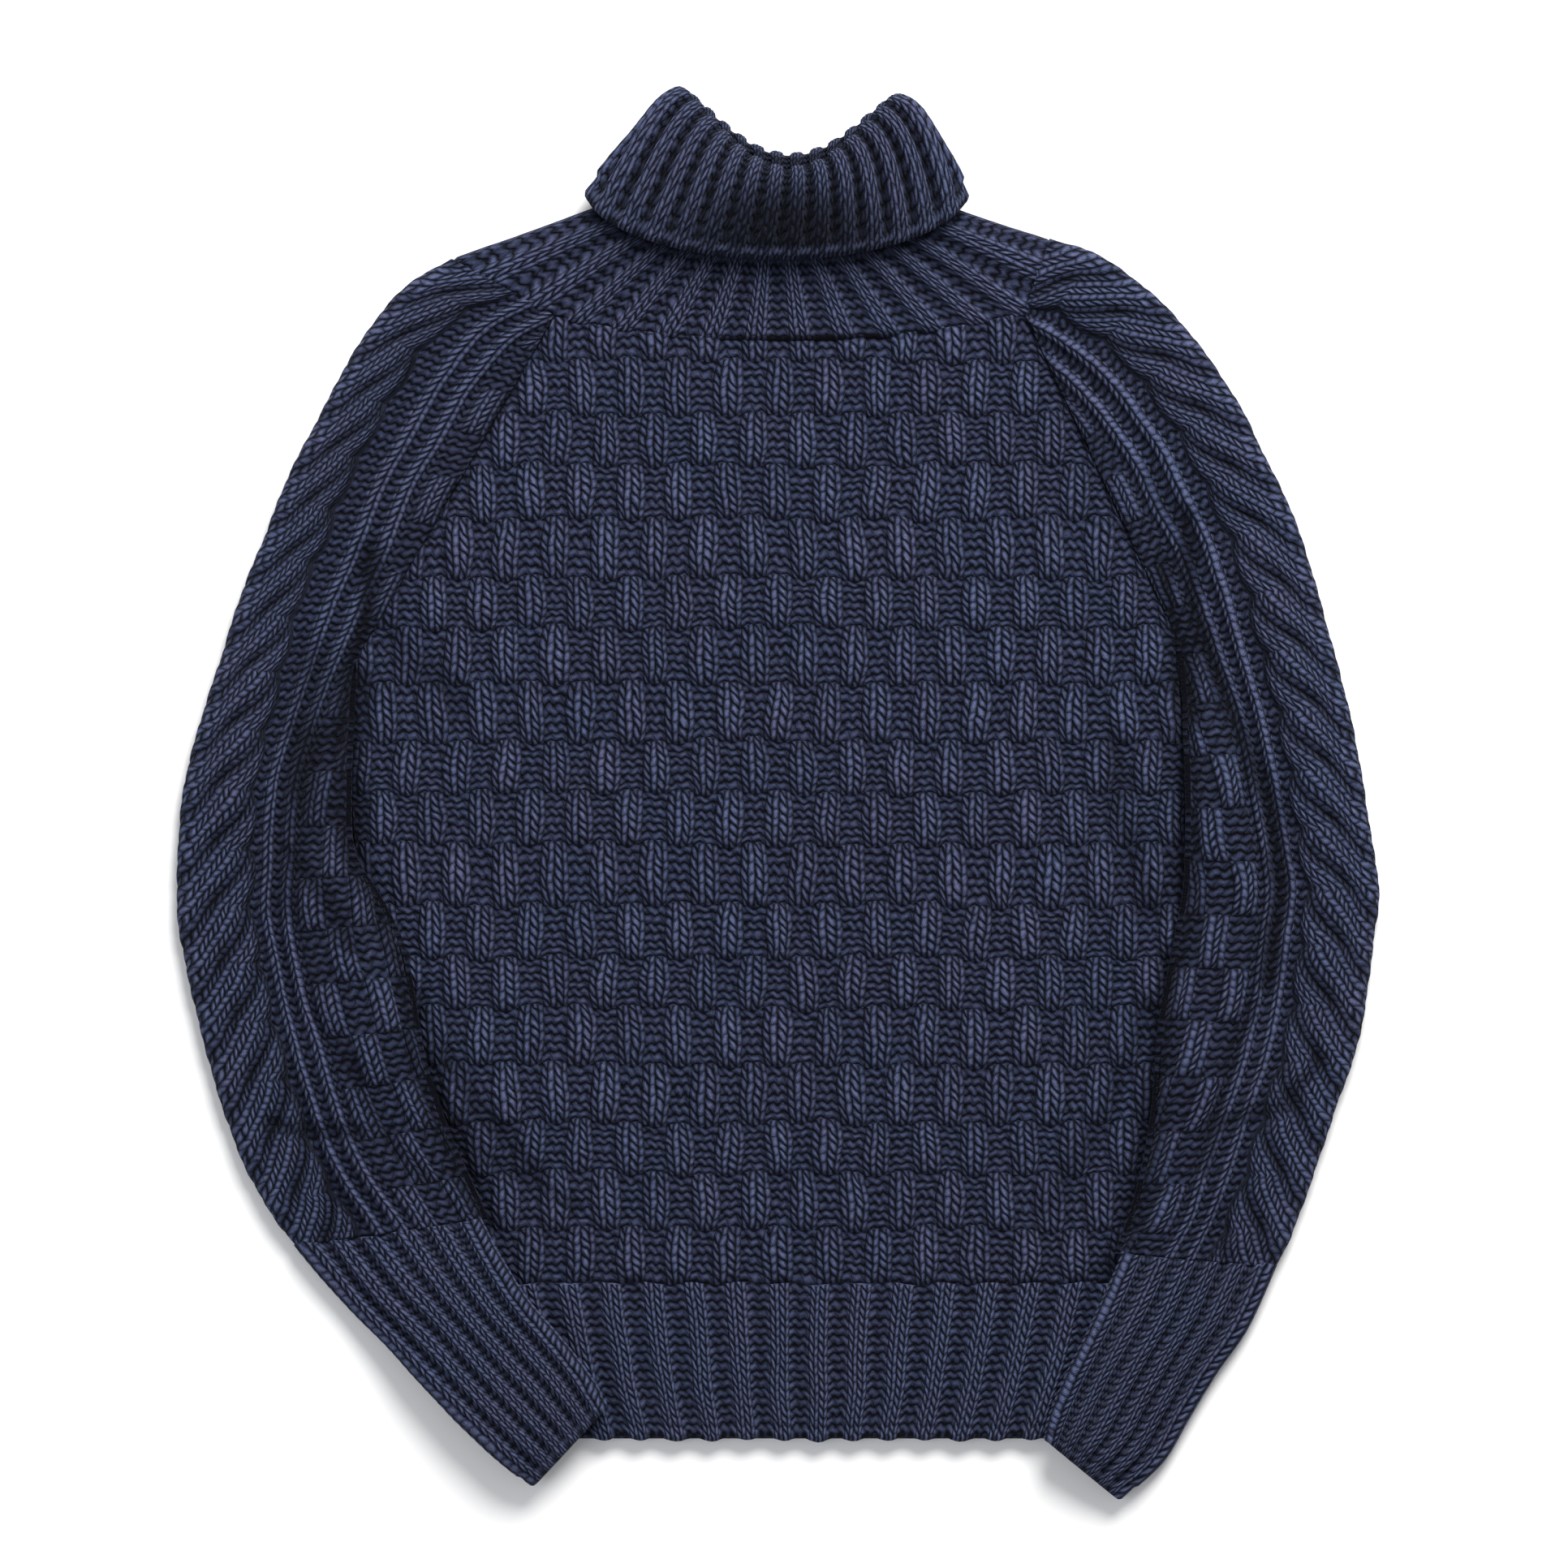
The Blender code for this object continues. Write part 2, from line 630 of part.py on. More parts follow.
def sleeve_top(side, end, count, on_top):
    """From the outer fold of a sleeve's top edge to the raglan seam's end."""
    tip = np.array(SHOULDER_TIP[side] + (0.0,))
    run = level(end) - tip
    length = np.linalg.norm(run)
    inset = (WALL / 2 + FOLD_RELIEF) / length
    turned = inset + FOLD_RADIUS / length
    shares = np.concatenate(([inset], np.linspace(turned, 1.0, count)))
    points = tip + run * shares[:, None]
    points[:, 2] = BACK_MIDDLE + np.where(on_top, layers_apart(1.0 - shares), 0.0)
    points[0, 2] = BACK_MIDDLE + FOLD_RADIUS
    points[-1] = end
    return points


def build_neck(collection):
    """The neckband and the folded collar, worked out as one run of loops."""
    columns = (FRONT_COLUMNS, BACK_COLUMNS)
    loops = table(COLLAR_LOOPS)
    knots = np.arange(len(loops), dtype=float)
    rows = hermite(knots, loops, np.linspace(0.0, knots[-1], COLLAR_ROWS))
    collar = np.stack([collar_loop(row, columns) for row in rows])
    ring, facing = neck_ring()
    base = collar[0]
    way = base - ring
    reach = np.linalg.norm(way[:, 0:2], axis=1)[:, None]
    at_tip = np.minimum(collar_share(columns), 1.0 - collar_share(columns)) < TIP_SHARE
    eased = np.where(at_tip, TIP_EASE, 1.0)[:, None]
    ring = ring + way * NECK_SEAM * eased / reach
    base_end = base - way * NECK_SEAM * eased / reach
    share = np.linspace(0.0, 1.0, NECKBAND_ROWS)[:, None, None]
    band = ring + (base_end - ring) * share
    flatter = np.array((0.0, 0.0, 1.0)) * (share * share - share) * NECKBAND_HOLLOW
    band = band + flatter * (band[..., 2:3] > FRONT_MIDDLE)
    middle = np.concatenate((band, collar))
    normal = normals_of(middle, True, 1.0, facing)
    at_seam = squared(normal[NECKBAND_ROWS - 1] + normal[NECKBAND_ROWS], level(way))
    normal[NECKBAND_ROWS - 1:NECKBAND_ROWS + 1] = at_seam

    ribs = np.where(np.arange(middle.shape[1]) % 2 == 0, RIB_RELIEF, 0.0)
    ribs[[0, FRONT_COLUMNS]] = 0.0
    flat_below = np.clip(1.0 + normal[:NECKBAND_ROWS, :, 2] * DOWNWARD_FADE, 0.0, 1.0)
    kept = every(middle.shape[1] + 1, BAND_INNER_STEP)[:-1]
    wall("neckband", middle[:NECKBAND_ROWS], normal[:NECKBAND_ROWS], ribs * flat_below,
         every(NECKBAND_ROWS, BAND_INNER_STEP), kept, True, collection, 1.05)

    # The folded collar shows the other side of the cloth
    turned = -normal[NECKBAND_ROWS:]
    flat_below = np.clip(1.0 + turned[..., 2] * DOWNWARD_FADE, 0.0, 1.0)
    inside = np.arange(COLLAR_ROWS) < COLLAR_ROWS * STAND_SHARE
    from_side = np.abs(np.sin(math.pi * collar_share(columns)))
    inner_fade = smooth_step((from_side - INSIDE_FADE_START)
                             / (INSIDE_FADE_END - INSIDE_FADE_START))
    fade = np.where(inside[:, None], inner_fade[None, :], flat_below)
    from_rim = np.linspace(0.0, knots[-1], COLLAR_ROWS) - RIM_LOOP
    thinned = 1.0 - FOLD_THINNING * np.exp(-from_rim * from_rim)
    wall("collar", middle[NECKBAND_ROWS:], turned, ribs * fade, every(COLLAR_ROWS, 1), kept,
         True, collection, 1.25, -1.0, thinned[:, None, None])


def prism(name, outline, low, high, collection, shade):
    """A flat panel with this outline between two levels."""
    count = len(outline)
    vertices = [(x, y, low) for x, y in outline] + [(x, y, high) for x, y in outline]
    faces = [list(range(count))[::-1], list(range(count, 2 * count))]
    for index in range(count):
        after = (index + 1) % count
        faces.append([index, after, count + after, count + index])
    return add_object(name, vertices, faces, collection, shade)


def body_outline(tops, drop, neck_points):
    """A body panel's outline, anticlockwise from the right end of the hem seam."""
    sides = table(BODY_SIDES)
    sides = sides[(sides[:, 0] < UNDERARM["right"][1]) & (sides[:, 0] >= HEM_SEAM_Y - SEAM)]
    left_sides = table(BODY_SIDES)
    left_sides = left_sides[left_sides[:, 0] >= HEM_SEAM_Y - SEAM][1:]
    right = [(row[1], row[0]) for row in sides]
    left = [(row[2], row[0]) for row in left_sides]
    neck = [tuple(point) for point in neckline(neck_points, tops, drop)]
    eased = {}
    for side in ("right", "left"):
        y = UNDERARM[side][1] + UNDERARM_EASE
        eased[side] = (float(line_x(y, tops[side], UNDERARM[side])), y)
    outline = right[::-1] + [eased["right"]] + neck + [eased["left"]] + left
    return outline[::-1]


def hem_outline():
    """The hem's outline, anticlockwise from the right end of its lower edge."""
    levels = [HEM_EDGE_Y + (HEM_SEAM_Y - SEAM - HEM_EDGE_Y) * step / (HEM_ROWS - 1)
              for step in range(HEM_ROWS)]
    left = [(float(side_x(y, "left")), y) for y in levels]
    right = [(float(side_x(y, "right")), y) for y in levels]
    return left + right[::-1]


def edge_distance(x, y, outline):
    """How far points lie from the nearest edge of an outline."""
    nearest = np.full(x.shape, 1.0)
    points = np.array(outline)
    for start, end in zip(points, np.roll(points, -1, axis=0)):
        run = end - start
        share = np.clip(((x - start[0]) * run[0] + (y - start[1]) * run[1]) / (run @ run), 0, 1)
        gap = np.hypot(x - start[0] - share * run[0], y - start[1] - share * run[1])
        nearest = np.minimum(nearest, gap)
    return nearest


def build_front(collection, guides, shade):
    """Basket-stitch relief over the front, cut to the panel's outline."""
    outline = body_outline(FRONT_RAGLAN_TOP, FRONT_NECK_DROP, FRONT_NECK + 1)
    low = WALL + SEAM
    panel = prism("front_panel", outline, low, low + WALL + 4 * BLOCK_RELIEF, collection, shade)

    corners = np.array(outline)
    first = int(math.floor((corners[:, 0].min() - SLAB_MARGIN) / CELL_WIDTH))
    last = int(math.ceil((corners[:, 0].max() + SLAB_MARGIN) / CELL_WIDTH))
    cells = np.arange(first, last + 1)
    bands = np.arange(-1, int(math.ceil((corners[:, 1].max() - HEM_SEAM_Y) / BAND_HEIGHT)) + 1)
    levels = np.concatenate([(band + BLOCK_EDGE, band + 1.0 - BLOCK_EDGE) for band in bands])
    band_of = np.repeat(bands, 2)
    y, x = np.meshgrid(HEM_SEAM_Y + levels * BAND_HEIGHT, cells * CELL_WIDTH, indexing="ij")
    raised = (cells[None, :] + band_of[:, None]) % 2 == 0
    fade = smooth_step(edge_distance(x, y, outline) / RELIEF_FADE)
    height = low + WALL + np.where(raised, BLOCK_RELIEF, 0.0) * fade

    rows, columns = height.shape
    top = np.stack((x, y, height), axis=2).reshape(-1, 3)
    corner = [0, columns - 1, rows * columns - 1, (rows - 1) * columns]
    under = [(top[index][0], top[index][1], low - SLAB_MARGIN) for index in corner]
    base = rows * columns
    faces = []
    for row in range(rows - 1):
        for column in range(columns - 1):
            at = row * columns + column
            right, above, across = at + 1, at + columns, at + columns + 1
            if top[at][2] + top[across][2] <= top[right][2] + top[above][2]:
                faces += [[at, right, across], [at, across, above]]
            else:
                faces += [[at, right, above], [right, across, above]]
    south = [row for row in range(columns)]
    east = [row * columns + columns - 1 for row in range(rows)]
    north = [(rows - 1) * columns + column for column in range(columns)][::-1]
    west = [row * columns for row in range(rows)][::-1]
    for index, edge in enumerate((south, east, north, west)):
        faces.append(edge[::-1] + [base + index, base + (index + 1) % 4])
    faces.append([base + 3, base + 2, base + 1, base])
    slab = add_object("front_relief_guide", list(top) + under, faces, guides, shade)
    slab.display_type = "WIRE"
    slab.hide_render = True

    cut = panel.modifiers.new("relief", "BOOLEAN")
    cut.operation = "INTERSECT"
    cut.solver = "EXACT"
    cut.object = slab


def build_front_hem(collection, shade):
    """The front of the hem in ribs that lean inwards towards its lower edge."""
    levels = np.linspace(HEM_SEAM_Y - SEAM, HEM_EDGE_Y, HEM_ROWS)
    share = np.linspace(0.0, 1.0, 2 * HEM_RIBS + 1)
    right = side_x(levels, "right")[:, None]
    left = side_x(levels, "left")[:, None]
    x = right + (left - right) * share
    y = np.broadcast_to(levels[:, None], x.shape)
    middle = np.stack((x, y, np.full(x.shape, FRONT_MIDDLE)), axis=2)
    hand = -1.0
    normal = normals_of(middle, False, hand)
    relief = np.zeros(x.shape)
    relief[:, 1::2] = RIB_RELIEF
    kept_rows = every(HEM_ROWS, 1)
    kept_columns = [0, HEM_RIBS, 2 * HEM_RIBS]
    wall("front_hem_rib", middle, normal, relief, kept_rows, kept_columns, False,
         collection, shade, hand)


def main():
    for old in list(bpy.data.objects):
        bpy.data.objects.remove(old, do_unlink=True)
    sweater = bpy.data.collections.new("turtleneck_sweater")
    guides = bpy.data.collections.new("guides")
    bpy.context.scene.collection.children.link(sweater)
    bpy.context.scene.collection.children.link(guides)

    back = body_outline(BACK_RAGLAN_TOP, BACK_NECK_DROP, BACK_NECK + 1)
    prism("back_panel", back, 0.0, WALL, sweater, 0.9)
    prism("back_hem_rib", hem_outline(), 0.0, WALL, sweater, 0.85)
    build_front(sweater, guides, 1.1)
    build_front_hem(sweater, 1.0)
    build_sleeve("right", sweater, 1.2)
    build_sleeve("left", sweater, 1.3)
    build_cuff("right", sweater, 0.95)
    build_cuff("left", sweater, 0.9)
    build_neck(sweater)


main()
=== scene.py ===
"""Looks of the turtleneck sweater: every panel knitted stitch by stitch over the frame."""

import json
import math

import bpy
import numpy as np
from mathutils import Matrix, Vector

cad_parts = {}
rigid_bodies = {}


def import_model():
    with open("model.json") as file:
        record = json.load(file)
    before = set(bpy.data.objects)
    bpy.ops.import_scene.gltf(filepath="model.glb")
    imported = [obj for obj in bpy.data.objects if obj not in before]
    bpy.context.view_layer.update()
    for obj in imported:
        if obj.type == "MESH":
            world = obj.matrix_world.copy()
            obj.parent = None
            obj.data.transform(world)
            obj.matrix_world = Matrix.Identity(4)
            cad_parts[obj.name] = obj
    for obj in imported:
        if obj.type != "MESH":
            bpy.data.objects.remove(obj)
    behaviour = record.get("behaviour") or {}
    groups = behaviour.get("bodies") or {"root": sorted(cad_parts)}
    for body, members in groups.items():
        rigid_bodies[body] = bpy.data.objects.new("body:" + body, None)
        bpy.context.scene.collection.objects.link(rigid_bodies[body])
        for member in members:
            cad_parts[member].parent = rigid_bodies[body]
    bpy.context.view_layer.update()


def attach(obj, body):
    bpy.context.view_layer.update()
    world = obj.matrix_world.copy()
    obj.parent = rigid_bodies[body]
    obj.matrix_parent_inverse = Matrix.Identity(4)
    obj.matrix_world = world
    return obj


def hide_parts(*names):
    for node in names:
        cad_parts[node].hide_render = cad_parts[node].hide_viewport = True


MM = 0.001

# Cloth
WALL = 4.5 * MM
SEAM = 0.3 * MM
LAYER_GAP = 0.8 * MM
BACK_MIDDLE = WALL / 2
FRONT_MIDDLE = WALL + SEAM + WALL / 2

# Body, from the hem edge to the neck
HEM_EDGE_Y = -360 * MM
HEM_SEAM_Y = -274 * MM
UNDERARM = {"right": (-234 * MM, 72 * MM), "left": (222 * MM, 82 * MM)}
FRONT_RAGLAN_TOP = {"right": (-124 * MM, 263 * MM), "left": (136 * MM, 265 * MM)}
BACK_RAGLAN_TOP = {"right": (-116 * MM, 284 * MM), "left": (126 * MM, 288 * MM)}
SHOULDER_TIP = {"right": (-182 * MM, 295 * MM), "left": (151 * MM, 307 * MM)}
FRONT_NECK_DROP = 13 * MM
BACK_NECK_DROP = 2 * MM

# Side seams, one row for each level: y, right side x, left side x
BODY_SIDES = (
    (72, -234, 221),
    (37, -236, 225),
    (4, -237, 226),
    (-30, -235, 226),
    (-57, -234, 225),
    (-102, -231, 223),
    (-147, -226, 220),
    (-192, -219, 215),
    (-237, -209, 206),
    (-274, -198, 198),
    (-318, -185, 186),
    (-360, -166, 170),
)

# Basket stitch: two knit wales beside two purl wales, changed over every six rows
CELL_WIDTH = 13.7 * MM
BAND_HEIGHT = 30.2 * MM
BLOCK_RELIEF = 2.8 * MM
RELIEF_FADE = 8 * MM

# Ribs
RIB_RELIEF = 2.6 * MM
HEM_RIBS = 17
HEM_ROWS = 5
CUFF_RIBS = 5

# Columns round the neckband and collar, two for each rib, by the stretch they cross
RIGHT_SLEEVE_TOP = 5
FRONT_NECK = 21
LEFT_SLEEVE_TOP = 4
LEFT_SLEEVE_BACK = 2
BACK_NECK = 20
RIGHT_SLEEVE_BACK = 4
FRONT_COLUMNS = RIGHT_SLEEVE_TOP + FRONT_NECK + LEFT_SLEEVE_TOP
BACK_COLUMNS = LEFT_SLEEVE_BACK + BACK_NECK + RIGHT_SLEEVE_BACK
NECKBAND_ROWS = 6
COLLAR_ROWS = 15

# Rope cable along the outer edge of each sleeve, then two narrow ribs
CABLE_CENTRE = 18 * MM
CABLE_HALF_WIDTH = 21 * MM
CABLE_PITCH = 32.5 * MM
CABLE_RELIEF = 4.2 * MM
CABLE_SLANT = 0.02
CABLE_TURN = 0.7
FOLD_RELIEF = 2.5 * MM
SIDEWAYS_SEAM = 0.45 * MM
UNDERARM_EASE = 6 * MM
NECKBAND_HOLLOW = 10 * MM
STAND_SHARE = 0.45
RIM_LOOP = 4
FOLD_THINNING = 0.45

# Sleeve section: how far its two layers lie apart
FOLD_RADIUS = 3.4 * MM
MIDDLE_GAP = 3.0 * MM

# Sleeves drape over the edge of the body, which is this high
BODY_TOP = 12.6 * MM
DRAPE_REACH = 45 * MM
DRAPE_START_BELOW_UNDERARM = 8 * MM
DRAPE_FULL_BELOW_UNDERARM = 100 * MM

# Sleeve sections, one row each: outer edge x, y, then inner edge x, y
SLEEVE_SECTIONS = {
    "right": (
        (-182, 295, -124, 263),
        (-210, 275, -134, 245),
        (-234, 244, -149, 219),
        (-253, 209, -166, 190),
        (-272, 172, -183, 161),
        (-285, 139, -202, 128),
        (-298, 107, -218, 99),
        (-309, 72, -234, 72),
        (-321, 35, -238, 35),
        (-329, 4, -239, 4),
        (-333, -39, -236, -37),
        (-333, -71, -221, -62),
        (-328, -100, -209, -88),
        (-321, -130, -203, -120),
        (-311, -167, -197, -152),
        (-296, -208, -185, -188),
        (-269, -253, -163, -238),
    ),
    "left": (
        (151, 307, 136, 265),
        (176, 297, 144, 248),
        (200, 281, 153, 229),
        (224, 258, 164, 206),
        (243, 233, 173, 187),
        (258, 209, 182, 168),
        (270, 184, 191, 148),
        (283, 158, 201, 127),
        (294, 127, 211, 106),
        (303, 95, 222, 82),
        (318, 37, 227, 31),
        (329, -28, 228, -28),
        (333, -55, 227, -53),
        (330, -84, 222, -82),
        (320, -145, 212, -140),
        (311, -170, 210, -170),
        (300, -203, 205, -203),
        (288, -237, 197, -235),
        (277, -265, 189, -257),
    ),
}

# Swells of the sleeves' upper layer: height, half width, then points along the crest
SWELLS = {
    "right": (
        (6.5, 38, ((-246, -62), (-236, -95), (-222, -135))),
        (4.0, 34, ((-262, -150), (-240, -205))),
        (3.5, 36, ((-290, 60), (-300, 0))),
    ),
    "left": (
        (6.0, 27, ((239, 33), (250, -35), (247, -102), (232, -161))),
        (4.5, 30, ((262, 120), (282, 60), (303, -20), (305, -90))),
        (3.0, 30, ((268, -150), (245, -215))),
    ),
}
SWELL_SEAM_FADE = 0.16
SWELL_FOLD_FADE = 0.3

# Cuff sections in the same columns
CUFF_SECTIONS = {
    "right": (
        (-269, -253, -163, -238),
        (-243, -284, -150, -262),
        (-216, -311, -137, -282),
        (-191, -339, -122, -299),
        (-165, -365, -107, -317),
        (-139, -387, -94, -338),
    ),
    "left": (
        (277, -265, 189, -257),
        (261, -300, 177, -284),
        (245, -323, 167, -305),
        (230, -348, 157, -325),
        (214, -374, 149, -344),
        (192, -394, 146, -356),
    ),
}

# Collar loops through the middle of the wall, from the neckband up to the rim and back
# down to the cast-off edge.  Columns: right x, y, left x, y, side z, front y, z,
# back y, z, how sharply front and back dip between the sides, how late the back drops.
COLLAR_LOOPS = (
    (-84, 327, 83, 325, 13.5, 306, 20.5, 318, 8.6, 1.2, 1.8),
    (-80, 339, 84, 336, 14.0, 317, 24.5, 326, 8.6, 1.4, 1.8),
    (-67, 359, 77, 357, 15.5, 331, 29.0, 337, 8.8, 1.9, 1.8),
    (-54, 377, 65, 373, 16.5, 339, 32.5, 345, 8.6, 2.4, 1.6),
    (-55, 386, 66, 382, 17.5, 342.5, 37.0, 350, 5.6, 2.8, 1.2),
    (-63, 379, 74, 376, 17.5, 339, 41.5, 346, 2.6, 2.4, 0.9),
    (-75, 364, 84, 361, 17.0, 329, 42.0, 342, 2.25, 1.9, 0.8),
    (-91, 345, 95, 342, 16.0, 311, 35.5, 337, 2.25, 1.4, 0.8),
    (-104, 329, 102, 328, 15.0, 295, 28.0, 333, 2.25, 1.2, 0.8),
)


def smooth_step(value):
    value = np.clip(value, 0.0, 1.0)
    return value * value * (3.0 - 2.0 * value)


def table(rows):
    """A table in millimetres as an array in metres."""
    return np.array(rows, dtype=float) * MM


def spline(rows, count):
    """Sample a smooth curve through table rows, evenly along its length."""
    rows = np.asarray(rows, dtype=float)
    middle = 0.5 * (rows[:, 0:2] + rows[:, 2:4])
    lengths = np.linalg.norm(np.diff(middle, axis=0), axis=1)
    knots = np.concatenate(([0.0], np.cumsum(lengths)))
    return hermite(knots, rows, np.linspace(0.0, knots[-1], count)), knots[-1]


def hermite(knots, values, samples):
    """Cubic through values at knots, with slopes from their neighbours."""
    slopes = np.gradient(values, knots, axis=0)
    index = np.clip(np.searchsorted(knots, samples, side="right") - 1, 0, len(knots) - 2)
    step = (knots[index + 1] - knots[index])[:, None]
    part = (samples - knots[index])[:, None] / step
    square = part * part
    cube = square * part
    return (
        (2 * cube - 3 * square + 1) * values[index]
        + (cube - 2 * square + part) * step * slopes[index]
        + (3 * square - 2 * cube) * values[index + 1]
        + (cube - square) * step * slopes[index + 1]
    )


def side_x(y, side):
    """Where the body's side seam lies at a level."""
    rows = table(BODY_SIDES)[::-1]
    column = 1 if side == "right" else 2
    return np.interp(y, rows[:, 0], rows[:, column])


def line_x(y, start, end):
    """x on the straight line from start to end at a level."""
    share = (y - start[1]) / (end[1] - start[1])
    return start[0] + (end[0] - start[0]) * share


def neckline(count, tops, drop):
    """A shallow arc between the two raglan tops."""
    right = np.array(tops["right"])
    left = np.array(tops["left"])
    share = np.linspace(0.0, 1.0, count)
    points = right + (left - right) * share[:, None]
    points[:, 1] -= drop * (1.0 - np.abs(2.0 * share - 1.0) ** 2.5)
    return points


def squared(normal, facing):
    """Normals turned into the upright plane that a seam's facing direction is square to."""
    facing = facing / np.maximum(np.linalg.norm(facing, axis=-1, keepdims=True), 1e-12)
    normal = normal - facing * np.sum(normal * facing, axis=-1, keepdims=True)
    return normal / np.linalg.norm(normal, axis=-1, keepdims=True)


def level(vectors):
    """The horizontal part of vectors."""
    return vectors * np.array((1.0, 1.0, 0.0))


def normals_of(middle, ring, hand=1.0, first=None, last=None):
    """Unit normals of a grid of points, where columns may close into a ring.

    first and last are the directions that the first and last rows' seams face.
    """
    if ring:
        across = np.roll(middle, -1, axis=1) - np.roll(middle, 1, axis=1)
    else:
        across = np.gradient(middle, axis=1)
    along = np.gradient(middle, axis=0)
    normal = np.cross(across, along) * hand
    size = np.linalg.norm(normal, axis=2, keepdims=True)
    flat = size[..., 0] < 1e-13
    normal /= np.maximum(size, 1e-13)
    half = int(np.argmax(size[..., 0].min(axis=0)))
    for column in list(range(half - 1, -1, -1)) + list(range(half + 1, normal.shape[1])):
        inner = column + 1 if column < half else column - 1
        normal[flat[:, column], column] = normal[flat[:, column], inner]
    normal[0] = squared(normal[0], level(along[0]) if first is None else first)
    normal[-1] = squared(normal[-1], level(along[-1]) if last is None else last)
    if not ring:
        for column in (0, -1):
            facing = np.cross(along[:, column], (0.0, 0.0, 1.0))
            normal[:, column] = squared(normal[:, column], facing)
    return normal


def section_facing(section):
    """The horizontal direction square to a sleeve section, from its edges in plan."""
    run = section[0:2] - section[2:4]
    return np.array((-run[1], run[0], 0.0))


def drape_height(x, y):
    """How high the cloth under the sleeves lifts them: the body, and a slope beside it."""
    underarm = np.where(x < 0, UNDERARM["right"][1], UNDERARM["left"][1])
    below = underarm - y
    start = smooth_step((below - DRAPE_START_BELOW_UNDERARM)
                        / (DRAPE_FULL_BELOW_UNDERARM - DRAPE_START_BELOW_UNDERARM))
    edge = np.where(x < 0, side_x(y, "right"), side_x(y, "left"))
    beside = np.maximum(np.abs(x) - np.abs(edge), 0.0)
    past_hem = np.maximum(HEM_EDGE_Y - y, 0.0)
    distance = np.hypot(beside, past_hem)
    return BODY_TOP * start * (1.0 - smooth_step(distance / DRAPE_REACH))


def layers_apart(share):
    """Distance between the middles of a sleeve's two layers, from seam 0 to fold 1."""
    at_seam = WALL + LAYER_GAP
    at_fold = 2 * FOLD_RADIUS
    swell = (WALL + MIDDLE_GAP - 0.5 * (at_seam + at_fold)) * np.sin(math.pi * share) ** 2
    return at_seam + (at_fold - at_seam) * smooth_step(share * 1.6) + swell


def swell(x, y, share, side):
    """How far the sleeve's upper layer swells up, from nothing at its seam and its fold."""
    height = np.zeros(x.shape)
    for rise, half_width, crest in SWELLS[side]:
        points = table(crest)
        distance = np.full(x.shape, 1.0)
        for start, end in zip(points[:-1], points[1:]):
            run = end - start
            along = ((x - start[0]) * run[0] + (y - start[1]) * run[1]) / (run @ run)
            along = np.clip(along, 0.0, 1.0)
            gap = np.hypot(x - start[0] - along * run[0], y - start[1] - along * run[1])
            distance = np.minimum(distance, gap)
        near = smooth_step(1.0 - distance / (half_width * MM))
        height = np.maximum(height, rise * MM * near)
    fade = smooth_step(share / SWELL_SEAM_FADE) * smooth_step((1.0 - share) / SWELL_FOLD_FADE)
    return height * fade


def sleeve_points(sections, steps, back_edge, side):
    """The middle of a sleeve's wall.

    Each section runs from the inner edge over the top to the outer fold and back below.
    steps holds one row for each section: the distance from the fold of every column,
    positive on top and negative underneath.
    """
    outer = sections[:, 0:2]
    inner = sections[:, 2:4]
    across = outer - inner
    width = np.linalg.norm(across, axis=1, keepdims=True)
    across = across / width
    crest = width - WALL / 2 - FOLD_RELIEF
    arc = 0.5 * math.pi * FOLD_RADIUS
    run = np.abs(steps)
    angle = np.minimum(run, arc) / FOLD_RADIUS
    reach = crest - FOLD_RADIUS * (1.0 - np.cos(angle)) - np.maximum(run - arc, 0.0)
    plan = inner[:, None, :] + across[:, None, :] * reach[..., None]
    under = steps < 0
    share = np.clip(reach / crest, 0.0, 1.0)
    back_shift = back_edge[:, None, :] * (1.0 - share[..., None])
    plan = plan + np.where(under[..., None], back_shift, 0.0)
    turned = np.sin(angle)
    raised = swell(plan[..., 0], plan[..., 1], share, side)
    apart = np.where(run < arc, FOLD_RADIUS * 2, layers_apart(share) + raised)
    lift = drape_height(plan[..., 0], plan[..., 1])
    height = WALL / 2 + lift + np.where(
        under, apart * 0.5 * (1.0 - turned), apart * 0.5 * (1.0 + turned))
    flat = run >= arc
    height = np.where(flat, WALL / 2 + lift + np.where(under, 0.0, apart), height)
    return np.concatenate((plan, height[..., None]), axis=2)


def evenly(points, count):
    """Resample a polyline at count equal steps, with both its ends."""
    lengths = np.linalg.norm(np.diff(points, axis=0), axis=1)
    knots = np.concatenate(([0.0], np.cumsum(lengths)))
    samples = np.linspace(0.0, knots[-1], count + 1)
    return np.stack([np.interp(samples, knots, points[:, axis]) for axis in range(3)], axis=1)


def collar_loop(row, columns):
    """One closed loop of the collar: across the front from right to left, then back."""
    right_x, right_y, left_x, left_y, side_z, front_y, front_z, back_y, back_z = row[:9]
    dip, back_drop = row[9:] / MM
    centre = 0.5 * (right_x + left_x)
    half_width = 0.5 * (left_x - right_x)
    angle = np.linspace(0.0, math.pi, 241)
    rise = np.sqrt(np.clip(np.sin(angle), 0.0, 1.0))
    halves = []
    for y_middle, z_middle, climb, count in ((front_y, front_z, 1.0, columns[0]),
                                             (back_y, back_z, back_drop, columns[1])):
        x = centre - half_width * np.cos(angle)
        side_y = right_y + (left_y - right_y) * (x - right_x) / (left_x - right_x)
        depth = rise ** (2.0 * dip)
        y = side_y + (y_middle - 0.5 * (right_y + left_y)) * depth
        z = side_z + (z_middle - side_z) * rise ** climb
        halves.append(evenly(np.stack((x, y, z), axis=1), count))
    return np.concatenate((halves[0][:-1], halves[1][::-1][:-1]))


